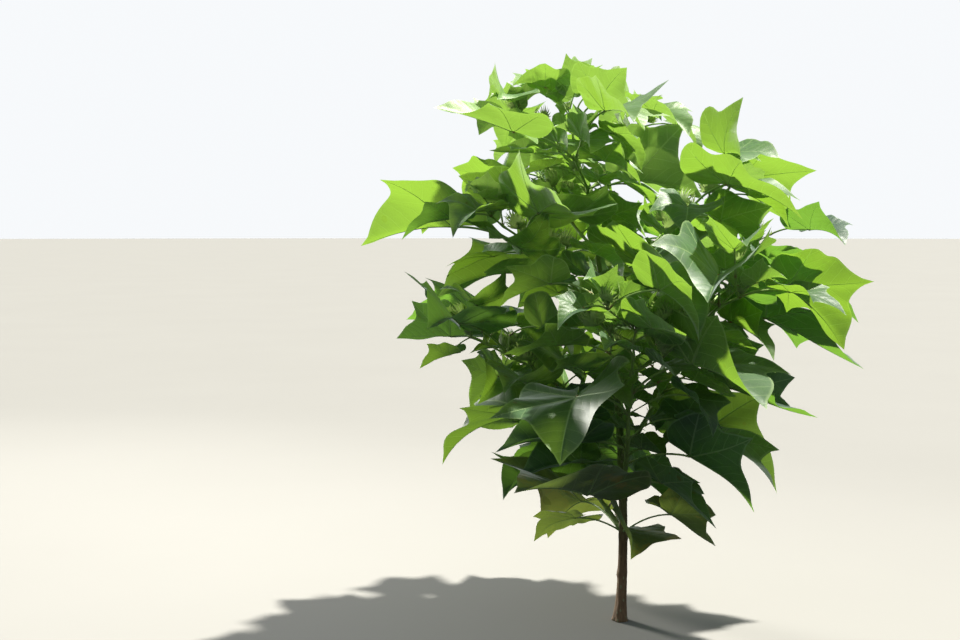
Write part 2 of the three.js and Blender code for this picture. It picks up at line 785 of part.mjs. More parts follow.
const tipPoints = [along(shootTip.start, heading(0, Math.PI / 2), GAP), shootTip.end];
const tipTwig = limb(tipPoints, [STEM_TIP_RADIUS * 0.85, TWIG_TIP_RADIUS], TWIG_SIDES);
const tipFoliage = joined([tipTwig, ...shootTip.leaves.map(leafSolid)]).subtract(stemSpace);
plant.add(meshFrom('shoot_tip', tipFoliage, LEAF_GREENS[3], LEAF_ROUGHNESS));

export default plant;
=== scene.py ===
"""Cotton plant in bud: bark, twigs, leaf blades and squares grown over the plant's frame."""

import logging
import math
from dataclasses import dataclass, field, replace
from enum import Enum
from math import radians

import bpy
import numpy as np
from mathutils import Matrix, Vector, noise
from numpy.linalg import norm


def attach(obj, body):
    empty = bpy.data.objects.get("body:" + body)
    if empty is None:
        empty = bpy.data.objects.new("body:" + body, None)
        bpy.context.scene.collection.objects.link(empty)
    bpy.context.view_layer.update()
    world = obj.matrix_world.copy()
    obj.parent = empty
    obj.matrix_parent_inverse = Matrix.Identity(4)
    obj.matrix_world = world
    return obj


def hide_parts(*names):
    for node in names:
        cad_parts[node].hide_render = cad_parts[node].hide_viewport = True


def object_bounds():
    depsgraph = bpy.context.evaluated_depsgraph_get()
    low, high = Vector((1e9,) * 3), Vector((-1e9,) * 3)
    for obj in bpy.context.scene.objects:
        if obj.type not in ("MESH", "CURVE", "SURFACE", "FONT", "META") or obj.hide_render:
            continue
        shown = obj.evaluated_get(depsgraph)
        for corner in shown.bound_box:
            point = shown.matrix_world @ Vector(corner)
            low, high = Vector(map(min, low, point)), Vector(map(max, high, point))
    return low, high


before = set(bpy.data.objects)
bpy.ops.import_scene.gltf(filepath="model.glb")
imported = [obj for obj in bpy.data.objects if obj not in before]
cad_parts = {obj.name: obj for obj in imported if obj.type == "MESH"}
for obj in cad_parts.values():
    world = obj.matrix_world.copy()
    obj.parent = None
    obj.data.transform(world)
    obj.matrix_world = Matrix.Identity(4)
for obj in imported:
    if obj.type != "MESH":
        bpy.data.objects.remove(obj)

CAD_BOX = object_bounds()
log = logging.getLogger("cotton_plant")

MM = 0.001
FULL_TURN = 2 * math.pi
UP = (0, 0, 1)
Array = np.ndarray
Socket = bpy.types.NodeSocket
Material = bpy.types.Material


# Growth rule, in millimetres, as in the part's source


class Numbers:
    """Seeded numbers: the same seed gives the same numbers each time."""

    def __init__(self, seed: int) -> None:
        """Starts the sequence of one seed."""
        self.state = (seed * 2654435761 + 12345) % 4294967296
        self.draw()
        self.draw()

    def draw(self) -> float:
        """Returns the next number, from 0 to 1."""
        self.state = (self.state * 1664525 + 1013904223) % 4294967296
        return self.state / 4294967296

    def between(self, low: float, high: float) -> float:
        """Returns the next number between two limits."""
        return low + (high - low) * self.draw()


def heading(azimuth: float, elevation: float) -> Array:
    """Returns the unit vector at an azimuth and an elevation, in radians."""
    level = math.cos(elevation)
    return np.array([level * math.cos(azimuth), level * math.sin(azimuth), math.sin(elevation)])


def bent_line(start: Array, middle: Array, end: Array, steps: int) -> Array:
    """Returns the points, in a number of steps, of a limb that bends past a middle to its end."""
    share = np.linspace(0, 1, steps + 1)[:, None]
    return (1 - share) ** 2 * start + 2 * share * (1 - share) * middle + share**2 * end


def spaced(points: Array, step: float) -> Array:
    """Spaces points evenly down a line.

    Args:
        points: The line.
        step: Longest stretch.

    Returns:
        The points.
    """
    found = []
    for start, end in zip(points[:-1], points[1:]):
        count = math.ceil(norm(end - start) / step)
        found.extend(start + (end - start) * part / count for part in range(count))
    found.append(points[-1])
    return np.array(found)


@dataclass
class Blade:
    """One leaf blade: its outline in the plan, and how it is folded, bent and ruffled."""

    joint: Array
    forward: Array
    side: Array
    up: Array
    length: float
    fold: float
    cup: float
    wave: float
    ruffles: int
    phase: float
    twist: float
    droop: float
    lobing: float
    left_side: float
    right_side: float

    def outline(self, angle: Array) -> Array:
        """Draws the blade's margin.

        Args:
            angle: Turns from the midrib, in radians.

        Returns:
            How far the margin lies from the joint, in shares of the length.
        """
        turn = np.abs(np.arctan2(np.sin(angle), np.cos(angle)))
        left = (angle > math.pi) | (angle < 0)
        side = np.where(left, self.left_side, self.right_side)
        body = 0.5
        middle = (1 - body) * np.exp(-turn / radians(18))
        off_lobe = np.abs(turn - radians(50)) / radians(11.5)
        lobe = 0.31 * self.lobing * side * np.exp(-off_lobe)
        foot = 0.08 * side * np.exp(-np.abs(turn - radians(110)) / radians(16))
        notch = 1 - np.exp(-(math.pi - turn) / radians(13))
        return 0.05 + (body - 0.05 + middle + lobe + foot) * notch

    def place(self, x: Array, y: Array, lift: Array) -> Array:
        """Folds, bends and ruffles points of the blade.

        Args:
            x: Places along the midrib, in shares of the length.
            y: Places across it.
            lift: Heights above the blade's middle sheet.

        Returns:
            The points in millimetres.
        """
        angle = np.arctan2(y, x)
        radius = np.hypot(x, y)
        off_midrib = np.sqrt(y * y + 0.0012) - 0.0346
        ruffle = self.wave * radius**2 * np.sin(self.ruffles * angle + self.phase)
        height = self.fold * off_midrib - self.cup * y * y + ruffle + lift
        twist = self.twist * x
        across = y * np.cos(twist) - height * np.sin(twist)
        raised = y * np.sin(twist) + height * np.cos(twist)
        bend = self.droop * x
        ahead = np.sin(bend) / self.droop + raised * np.sin(bend)
        above = (np.cos(bend) - 1) / self.droop + raised * np.cos(bend)
        moved = (
            ahead[..., None] * self.forward
            + across[..., None] * self.side
            + above[..., None] * self.up
        )
        return self.joint + moved * self.length


@dataclass
class Leaf:
    """A leaf's stalk, as three points, its blade, and the seed of its small shape."""

    stalk: tuple[Array, Array, Array]
    blade: Blade
    seed: int = 0


@dataclass
class Square:
    """A flower bud in its three bracts."""

    anchor: Array
    foot: Array
    axis: Array
    length: float
    turn: float


@dataclass
class TwigNode:
    """A place on a twig where a leaf or a square stands."""

    point: Array
    azimuth: float
    elevation: float
    start: Array | None = None


class TakenSpace:
    """The space that limbs, squares and leaves already hold, as points with a margin each."""

    sparse_step = 7

    def __init__(self, ground: float) -> None:
        """Starts with nothing taken, and no room below a height above the ground."""
        self.points = np.empty((0, 3))
        self.margins = np.empty(0)
        self.low = np.array([-math.inf, -math.inf, ground])
        self.high = np.full(3, math.inf)

    def take(self, points: Array, margin: float) -> None:
        """Marks the points as taken, each with this margin round it."""
        self.points = np.vstack([self.points, points])
        self.margins = np.append(self.margins, np.full(len(points), margin))

    def keep_within(self, low: Array, high: Array) -> None:
        """Sets the box that all further growth stays in."""
        self.low = np.maximum(self.low, low)
        self.high = np.minimum(self.high, high)

    def is_free(self, points: Array, margins: Array) -> bool:
        """Tells whether points keep inside the box and their margin from all that is taken.

        Args:
            points: The points to test.
            margins: The margin of each.

        Returns:
            True where all of them are clear.
        """
        if not len(points):
            return True
        if (points < self.low).any() or (points > self.high).any():
            return False
        reach = margins.max() + self.margins.max()
        low = points.min(axis=0) - reach
        high = points.max(axis=0) + reach
        near = ((self.points >= low) & (self.points <= high)).all(axis=1)
        taken = self.points[near]
        reserved = self.margins[near]
        for some in (slice(None, None, self.sparse_step), slice(None)):
            squares = (points[some] ** 2).sum(axis=1)[:, None] + (taken**2).sum(axis=1)
            apart = squares - 2 * points[some] @ taken.T
            if (apart <= (margins[some][:, None] + reserved) ** 2).any():
                return False
        return True


@dataclass
class StemShape:
    """The main stem's line, thickness and nodes."""

    height: float = 572
    foot_radius: float = 6.2
    tip_radius: float = 2.0
    flare_radius: float = 3.6
    flare_height: float = 16
    lean: float = 58
    bow: float = 13
    bow_depth_share: float = 0.6
    bow_turn: float = 2.2
    node_count: int = 14
    first_node_height: float = 58
    longest_internode: float = 46
    shortest_internode: float = 22
    first_turn: float = radians(-160)
    node_turn: float = radians(135)
    turn_jitter: float = 0.16

    def point(self, height: float) -> Array:
        """Returns the stem's middle at a height."""
        share = height / self.height
        bow = self.bow * math.sin(math.pi * share)
        depth = -bow * self.bow_depth_share * math.cos(self.bow_turn * share)
        return np.array([-self.lean * share**1.5 + bow, depth, height])

    def radius(self, height: float) -> float:
        """Returns the stem's radius at a height, with the flare of the foot."""
        narrowing = (self.tip_radius - self.foot_radius) * (height / self.height) ** 0.85
        return self.foot_radius + narrowing + self.flare_radius * math.exp(-height / self.flare_height)

    def node_height(self, node: int) -> float:
        """Returns the height of a node."""
        height = self.first_node_height
        change = self.shortest_internode - self.longest_internode
        for step in range(1, node):
            height += self.longest_internode + change * (step / self.node_count) ** 2
        return height

    def node_azimuth(self, node: int) -> float:
        """Returns the azimuth of a node's leaf."""
        jitter = Numbers(node + 40).between(-self.turn_jitter, self.turn_jitter)
        return self.first_turn + self.node_turn * node + jitter


class Growth:
    """Finds room for leaves and squares, by the same tries as the part's source."""

    blade_margin = 5.2
    limb_margin = 2.0
    limb_step = 5.0
    free_start = 20.0
    ground_margin = 9.0
    tries = 64
    cloud_rings = 7
    stalk_share = 0.86
    stalk_radius = 1.5
    stalk_steps = 4
    smallest_share = 0.42
    square_length = 36.0
    pedicel_length = 17.0
    pedicel_radius = 1.2
    square_margin_share = 0.4
    light_azimuth = radians(40)
    light_elevation = radians(54)
    least_pull = 0.25
    most_pull = 0.75

    def __init__(self) -> None:
        """Starts with all the space free."""
        self.space = TakenSpace(self.ground_margin)

    def plan(
        self,
        anchor: Array,
        azimuth: float,
        elevation: float,
        length: float,
        numbers: Numbers,
        attempt: int,
    ) -> Leaf:
        """Plans one way for a leaf to grow, spread further from its place with each try.

        Args:
            anchor: Where its stalk begins.
            azimuth: The way it heads, seen from above.
            elevation: How steeply the stalk rises.
            length: Full length of the blade.
            numbers: The leaf's own seeded numbers.
            attempt: Number of this try.

        Returns:
            The leaf.
        """
        spread = radians(10 + 1.7 * attempt)
        turn = azimuth + numbers.between(-spread, spread)
        rise = elevation + numbers.between(-spread, spread) * 0.45
        size = length * (1 - (1 - self.smallest_share) * attempt / self.tries)
        reach = size * self.stalk_share * numbers.between(0.82, 1.16)
        middle = anchor + heading(turn, rise + 0.22) * reach * 0.55
        joint = anchor + heading(turn, rise - 0.12) * reach
        face_turn = turn + numbers.between(-0.45, 0.45)
        pitch = radians(numbers.between(-12, 40))
        roll = radians(numbers.between(-34, 34))
        ahead = heading(face_turn, -pitch)
        upright = heading(face_turn, math.pi / 2 - pitch)
        up = upright * math.cos(roll) + np.cross(upright, ahead) * math.sin(roll)
        pull = numbers.between(self.least_pull, self.most_pull)
        up = up + (heading(self.light_azimuth, self.light_elevation) - up) * pull
        up = up / norm(up)
        forward = ahead - up * ahead.dot(up)
        forward = forward / norm(forward)
        side = np.cross(up, forward)
        blade = Blade(
            joint=joint,
            forward=forward,
            side=side,
            up=up,
            length=size,
            fold=numbers.between(0.25, 1.0),
            cup=numbers.between(-0.2, 0.3),
            wave=numbers.between(0.04, 0.12),
            ruffles=4 + math.floor(numbers.draw() * 3),
            phase=numbers.between(0, FULL_TURN),
            twist=numbers.between(-0.6, 0.6),
            droop=numbers.between(0.15, 0.85),
            lobing=numbers.between(0.6, 1.15),
            left_side=numbers.between(0.88, 1.06),
            right_side=numbers.between(0.88, 1.06),
        )
        return Leaf((anchor, middle, joint), blade)

    def blade_cloud(self, blade: Blade) -> Array:
        """Spreads points over a blade, for the test of its room.

        Args:
            blade: The blade.

        Returns:
            The points.
        """
        points = [blade.joint[None, :]]
        for ring in range(1, self.cloud_rings + 1):
            angle = FULL_TURN * np.arange(6 * ring) / (6 * ring)
            radius = blade.outline(angle) * ring / self.cloud_rings
            flat = np.zeros_like(angle)
            points.append(blade.place(radius * np.cos(angle), radius * np.sin(angle), flat))
        return np.vstack(points)

    def leaf(
        self, anchor: Array, azimuth: float, elevation: float, length: float, seed: int
    ) -> Leaf | None:
        """Finds room for a leaf.

        Args:
            anchor: Where its stalk begins.
            azimuth: The way it heads.
            elevation: How steeply its stalk rises.
            length: Full length of its blade.
            seed: The leaf's own seed.

        Returns:
            The leaf, or None when no try is clear.
        """
        numbers = Numbers(seed)
        stalk_margin = self.stalk_radius + self.limb_margin
        for attempt in range(self.tries):
            leaf = self.plan(anchor, azimuth, elevation, length, numbers, attempt)
            stalk = spaced(bent_line(*leaf.stalk, self.stalk_steps), self.limb_step)
            face = self.blade_cloud(leaf.blade)
            points = np.vstack([stalk, face])
            margins = np.repeat([stalk_margin, self.blade_margin], [len(stalk), len(face)])
            away = norm(points - anchor, axis=1) > self.free_start
            if self.space.is_free(points[away], margins[away]):
                self.space.take(stalk, stalk_margin)
                self.space.take(face, self.blade_margin)
                leaf.seed = seed + 9000
                return leaf
        return None

    def square(
        self, anchor: Array, azimuth: float, elevation: float, share: float, seed: int
    ) -> Square | None:
        """Finds room for a square.

        Args:
            anchor: Where its stalk begins.
            azimuth: The way it heads.
            elevation: How steeply it stands.
            share: Its size, as a share of a full one.
            seed: The square's own seed.

        Returns:
            The square, or None when no try is clear.
        """
        numbers = Numbers(seed)
        length = self.square_length * share
        margin = length * self.square_margin_share
        for attempt in range(self.tries):
            spread = 0.3 + 0.1 * attempt
            turn = azimuth + numbers.between(-spread, spread)
            axis = heading(turn, elevation + numbers.between(-0.25, 0.25))
            foot = anchor + axis * self.pedicel_length * share
            heart = np.array([foot + axis * length * place for place in (0.2, 0.5, 0.8)])
            if self.space.is_free(heart, np.full(3, margin)):
                self.space.take(heart, margin)
                stalk = spaced(np.array([anchor, foot]), self.limb_step)
                self.space.take(stalk, self.pedicel_radius + self.limb_margin)
                return Square(anchor, foot, axis, length, numbers.between(0, FULL_TURN))
        return None


def keep(grown: "Leaf | Square | None", into: list) -> None:
    """Adds what grew to a list, where it found room."""
    if grown:
        into.append(grown)


@dataclass
class BranchSizes:
    """Sizes of one kind of branch at full share."""

    rise: float
    bough_length: float
    twig_length: float
    radius: float
    leaf_count: int
    zigzag: float
    twig_rise: float


@dataclass
class Branch:
    """A bough with the zigzag twig that carries its foliage."""

    node: int
    fruiting: bool
    share: float
    radius: float
    tip_radius: float
    bough: Array
    nodes: list[TwigNode]
    sides: list[TwigNode]
    leaves: list[Leaf] = field(default_factory=list)
    squares: list[Square] = field(default_factory=list)

    def name(self, part: str) -> str:
        """Returns the name of the frame's node for its bough or its foliage."""
        return f"{'fruiting' if self.fruiting else 'vegetative'}_{part}_{self.node:02d}"

    def bough_nodes(self) -> Array:
        """Returns the places along its bough where leaves stand, out of a dozen steps."""
        return bent_line(*self.bough, 12)[[6, 10] if self.fruiting else [4, 7, 10]]


@dataclass
class PlantPlan:
    """Grows the whole plant: limbs first, then squares, then leaves from the top down."""

    stem: StemShape = field(default_factory=StemShape)
    growth: Growth = field(default_factory=Growth)
    first_leaf_node: int = 2
    first_fruiting_node: int = 5
    peak_node: int = 7
    branch_side_step: float = radians(24)
    branch_rise_above_leaf: float = 8
    largest_blade: float = 138
    stem_margin: float = 6
    twig_jitter: float = 0.08
    zigzag: float = radians(17)
    bough_dip: float = 0.14
    bough_taper: float = 0.78
    first_side_twig: int = 3
    side_twig_length: float = 52
    side_twig_radius: float = 1.2
    squares_per_branch: int = 2
    tip_twig_length: float = 34
    tip_leaf_count: int = 5
    branches: list[Branch] = field(default_factory=list)
    stem_leaves: dict[int, Leaf] = field(default_factory=dict)
    tip_leaves: list[Leaf] = field(default_factory=list)
    tip_line: Array | None = None

    def grow(self) -> None:
        """Grows every limb, square and leaf."""
        growth = self.growth
        shares = [0, 0.25, 0.5, 0.75, 1]
        line = np.array([self.stem.point(share * self.stem.height) for share in shares])
        growth.space.take(spaced(line, growth.limb_step), self.stem_margin)
        last = self.stem.node_count - 1
        self.branches = [self.branch(node) for node in range(self.first_leaf_node, last + 1)]
        for branch in self.branches:
            self.take_branch(branch)
        for branch in self.branches:
            self.add_squares(branch)
        self.grow_tip()
        for node in range(last, self.first_leaf_node - 1, -1):
            self.add_stem_leaf(node)
            self.add_leaves(self.branches[node - self.first_leaf_node])

    def blade_length(self, node: int) -> float:
        """Returns the blade length of the main stem's leaf at a node."""
        swell = math.sin(math.pi * min(1, 0.14 + 0.86 * (node / self.stem.node_count)))
        return self.largest_blade * (0.42 + 0.58 * swell)

    def branch_share(self, node: int) -> float:
        """Sizes a branch.

        Args:
            node: Its node on the stem.

        Returns:
            Its size, as a share of the longest of its kind.
        """
        if node < self.first_fruiting_node:
            return 1 - 0.09 * (self.first_fruiting_node - 1 - node)
        if node <= self.peak_node:
            return 1 - 0.06 * (self.peak_node - node)
        return 1 - 0.68 * (node - self.peak_node) / (self.stem.node_count - self.peak_node)

    def sizes(self, node: int, share: float) -> BranchSizes:
        """Works out the sizes of a branch.

        Args:
            node: Its node on the stem.
            share: Its share of the longest of its kind.

        Returns:
            The sizes.
        """
        if node < self.first_fruiting_node:
            rise = radians(44)
            return BranchSizes(rise, share * 118, share * 170, 3.1, 6, self.zigzag / 2, rise + 0.3)
        rise = radians(27) + 0.035 * (node - self.first_fruiting_node)
        count = max(2, math.floor(4 * share + 0.5))
        return BranchSizes(rise, share * 92, share * 138, 2.3, count, self.zigzag, rise + 0.06)

    def branch(self, node: int) -> Branch:
        """Plans one branch: its bough, its twig and its side twigs.

        Args:
            node: Its node on the stem.

        Returns:
            The branch.
        """
        fruiting = node >= self.first_fruiting_node
        share = self.branch_share(node)
        sizes = self.sizes(node, share)
        azimuth = self.stem.node_azimuth(node) + self.branch_side_step
        radius = sizes.radius * (0.62 + 0.38 * share)
        root = self.stem.point(self.stem.node_height(node) + self.branch_rise_above_leaf)
        elbow = root + heading(azimuth, sizes.rise - self.bough_dip) * sizes.bough_length / 2
        tip = root + heading(azimuth, sizes.rise) * sizes.bough_length
        nodes = self.twig_nodes(TwigNode(tip, azimuth, sizes.twig_rise), sizes, node + 300)
        return Branch(
            node=node,
            fruiting=fruiting,
            share=share,
            radius=radius,
            tip_radius=radius * self.bough_taper,
            bough=np.array([root, elbow, tip]),
            nodes=nodes,
            sides=[] if fruiting else self.side_twigs(nodes, share, node + 400),
        )

    def twig_nodes(self, start: TwigNode, sizes: BranchSizes, seed: int) -> list[TwigNode]:
        """Bends a zigzag twig, each internode shorter than the one before.

        Args:
            start: The bough's tip.
            sizes: The branch's sizes.
            seed: Seed of its bends.

        Returns:
            The twig's nodes.
        """
        numbers = Numbers(seed)
        count = sizes.leaf_count
        weights = [1 - 0.55 * index / count for index in range(count)]
        nodes = [start]
        for index, weight in enumerate(weights):
            swing = (1 if index % 2 else -1) * sizes.zigzag
            jitter = numbers.between(-self.twig_jitter, self.twig_jitter)
            turn = start.azimuth + swing + jitter
            level = start.elevation * (1 - 0.25 * index / count)
            rise = level + numbers.between(-self.twig_jitter, self.twig_jitter)
            reach = sizes.twig_length * weight / sum(weights)
            nodes.append(TwigNode(nodes[-1].point + heading(turn, rise) * reach, turn, rise))
        return nodes

    def side_twigs(self, nodes: list[TwigNode], share: float, seed: int) -> list[TwigNode]:
        """Plans the short side twigs of a vegetative branch.

        Args:
            nodes: Nodes of its twig.
            share: The branch's size.
            seed: Seed of their turns.

        Returns:
            Their ends.
        """
        numbers = Numbers(seed)
        ends = []
        for index, at in enumerate(nodes[self.first_side_twig :]):
            turn = at.azimuth + (-1 if index % 2 else 1) * numbers.between(0.7, 1)
            rise = numbers.between(0.35, 0.6)
            length = self.side_twig_length * share * numbers.between(0.8, 1.1)
            ends.append(TwigNode(at.point + heading(turn, rise) * length, turn, rise, at.point))
        return ends

    def take_branch(self, branch: Branch) -> None:
        """Marks the space of a branch's limbs as taken.

        Args:
            branch: The branch.
        """
        growth = self.growth
        bough = bent_line(*branch.bough, 3)
        margin = growth.limb_margin
        growth.space.take(spaced(bough, growth.limb_step), branch.radius + margin)
        twig = np.array([at.point for at in branch.nodes])
        growth.space.take(spaced(twig, growth.limb_step), branch.tip_radius + margin)
        for side in branch.sides:
            line = spaced(np.array([side.start, side.point]), growth.limb_step)
            growth.space.take(line, self.side_twig_radius + margin)

    def add_squares(self, branch: Branch) -> None:
        """Stands squares in the axils of a fruiting branch's leaves, or at side twigs.

        Args:
            branch: The branch.
        """
        places = branch.sides[1:]
        if branch.fruiting:
            places = branch.nodes[1 : 1 + self.squares_per_branch]
        for index, at in enumerate(places):
            size = branch.share**0.5 * (1 - 0.14 * index)
            azimuth = at.azimuth + (-0.9 if index % 2 else 0.9)
            seed = 500 + branch.node * 10 + index
            rise = radians(52)
            keep(self.growth.square(at.point, azimuth, rise, size, seed), branch.squares)

    def add_leaves(self, branch: Branch) -> None:
        """Grows the leaves of a branch.

        Args:
            branch: The branch.
        """
        full = self.blade_length(branch.node)
        for index, at in enumerate([*branch.nodes[1:], *branch.sides]):
            share = 0.86 - 0.11 * index if branch.fruiting else 0.94 - 0.055 * index
            azimuth = at.azimuth + (0.75 if index % 2 else -0.75)
            seed = 900 + branch.node * 10 + index
            rise = radians(30)
            keep(self.growth.leaf(at.point, azimuth, rise, full * share, seed), branch.leaves)

    def add_stem_leaf(self, node: int) -> None:
        """Grows one leaf of the main stem.

        Args:
            node: Its node.
        """
        rise = radians(14 + 26 * node / self.stem.node_count)
        anchor = self.stem.point(self.stem.node_height(node))
        azimuth = self.stem.node_azimuth(node)
        leaf = self.growth.leaf(anchor, azimuth, rise, self.blade_length(node), 700 + node)
        if leaf:
            self.stem_leaves[node] = leaf

    def grow_tip(self) -> None:
        """Grows the young leaves round the growing point."""
        start = self.stem.point(self.stem.height)
        end = start + heading(radians(150), radians(80)) * self.tip_twig_length
        self.tip_line = np.array([start, end])
        for number in range(self.tip_leaf_count):
            along = 0.3 + 0.7 * number / (self.tip_leaf_count - 1)
            anchor = start + (end - start) * along
            azimuth = self.stem.node_azimuth(self.stem.node_count + number)
            rise = radians(38 + 7 * number)
            size = self.largest_blade * (0.56 - 0.09 * number)
            keep(self.growth.leaf(anchor, azimuth, rise, size, 1500 + number), self.tip_leaves)

    def sprays(self) -> list["Spray"]:
        """Gathers what the source's rule grows in the place of each foliage node.

        Returns:
            A spray for each of them.
        """
        found = []
        for branch in self.branches:
            twig = np.array([at.point for at in branch.nodes])
            limbs = [Limb(twig, branch.tip_radius, 1.1)]
            for side in branch.sides:
                line = np.array([side.start, side.point])
                limbs.append(Limb(line, self.side_twig_radius, self.side_twig_radius * 0.8))
            name = branch.name("foliage")
            found.append(Spray(name, branch.node, limbs, branch.leaves, branch.squares))
        for node, leaf in sorted(self.stem_leaves.items()):
            found.append(Spray(f"stem_leaf_{node:02d}", node, [], [leaf]))
        tip = Limb(self.tip_line, self.stem.tip_radius * 0.85, 1.1)
        found.append(Spray("shoot_tip", self.stem.node_count, [tip], self.tip_leaves))
        return found


# Finer growth, which only the scene carries


class LeafKind(Enum):
    """The kinds of leaf, each with the slot that its blades are grouped and named under."""

    WITHERING = ("withering", "leaf_old")
    OLD = ("old", "leaf_old")
    DEEP = ("deep", "leaf_mature")
    MIDDLE = ("middle", "leaf_mature")
    BRIGHT = ("bright", "leaf_mature")
    YOUNG = ("young", "leaf_young")
    TENDER = ("tender", "leaf_young")

    @property
    def slot(self) -> str:
        """Returns the slot."""
        return self.value[1]


class Zone(Enum):
    """How high on the plant a spray stands, with its shares of deep and middle green leaves."""

    LOWER = ("lower", (0.42, 0.34))
    MIDDLE = ("middle", (0.26, 0.38))
    UPPER = ("upper", (0.14, 0.40))

    @classmethod
    def of(cls, node: int) -> "Zone":
        """Returns the zone of a main-stem node."""
        return cls.LOWER if node < 5 else cls.MIDDLE if node < 9 else cls.UPPER


@dataclass
class Limb:
    """A twig's line, with its radius at both ends."""

    line: Array
    start_radius: float
    end_radius: float


@dataclass
class Spray:
    """All that grows in the place of one node of the frame."""

    node: str
    stem_node: int
    limbs: list[Limb] = field(default_factory=list)
    leaves: list[Leaf] = field(default_factory=list)
    squares: list[Square] = field(default_factory=list)
    tender_length: float = 36
    wither_height: float = 170
    last_old_node: int = 3
    first_young_node: int = 12

    @property
    def zone(self) -> Zone:
        """Returns the spray's zone."""
        return Zone.of(self.stem_node)

    def kind(self, index: int) -> LeafKind:
        """Picks a leaf's kind: old at the foot, young at the top.

        Args:
            index: The leaf's number in the spray.

        Returns:
            The kind.
        """
        numbers = Numbers(3000 + self.stem_node * 60 + index + 7 * len(self.limbs))
        pick = numbers.draw()
        if self.leaves[index].blade.length < self.tender_length:
            return LeafKind.TENDER if pick < 0.7 else LeafKind.YOUNG
        low = self.leaves[index].blade.joint[2] < self.wither_height
        if self.stem_node <= self.last_old_node and low:
            aged = 0.2 if self.limbs else 0.85
            if pick < aged:
                return LeafKind.WITHERING if numbers.draw() < 0.4 else LeafKind.OLD
            pick = (pick - aged) / (1 - aged)
        if self.stem_node >= self.first_young_node:
            return LeafKind.TENDER if pick < 0.55 else LeafKind.YOUNG
        if self.stem_node == self.first_young_node - 1 and pick < 0.6:
            return LeafKind.YOUNG
        deep, middle = self.zone.value[1]
        if pick < deep:
            return LeafKind.DEEP
        return LeafKind.MIDDLE if pick < deep + middle else LeafKind.BRIGHT


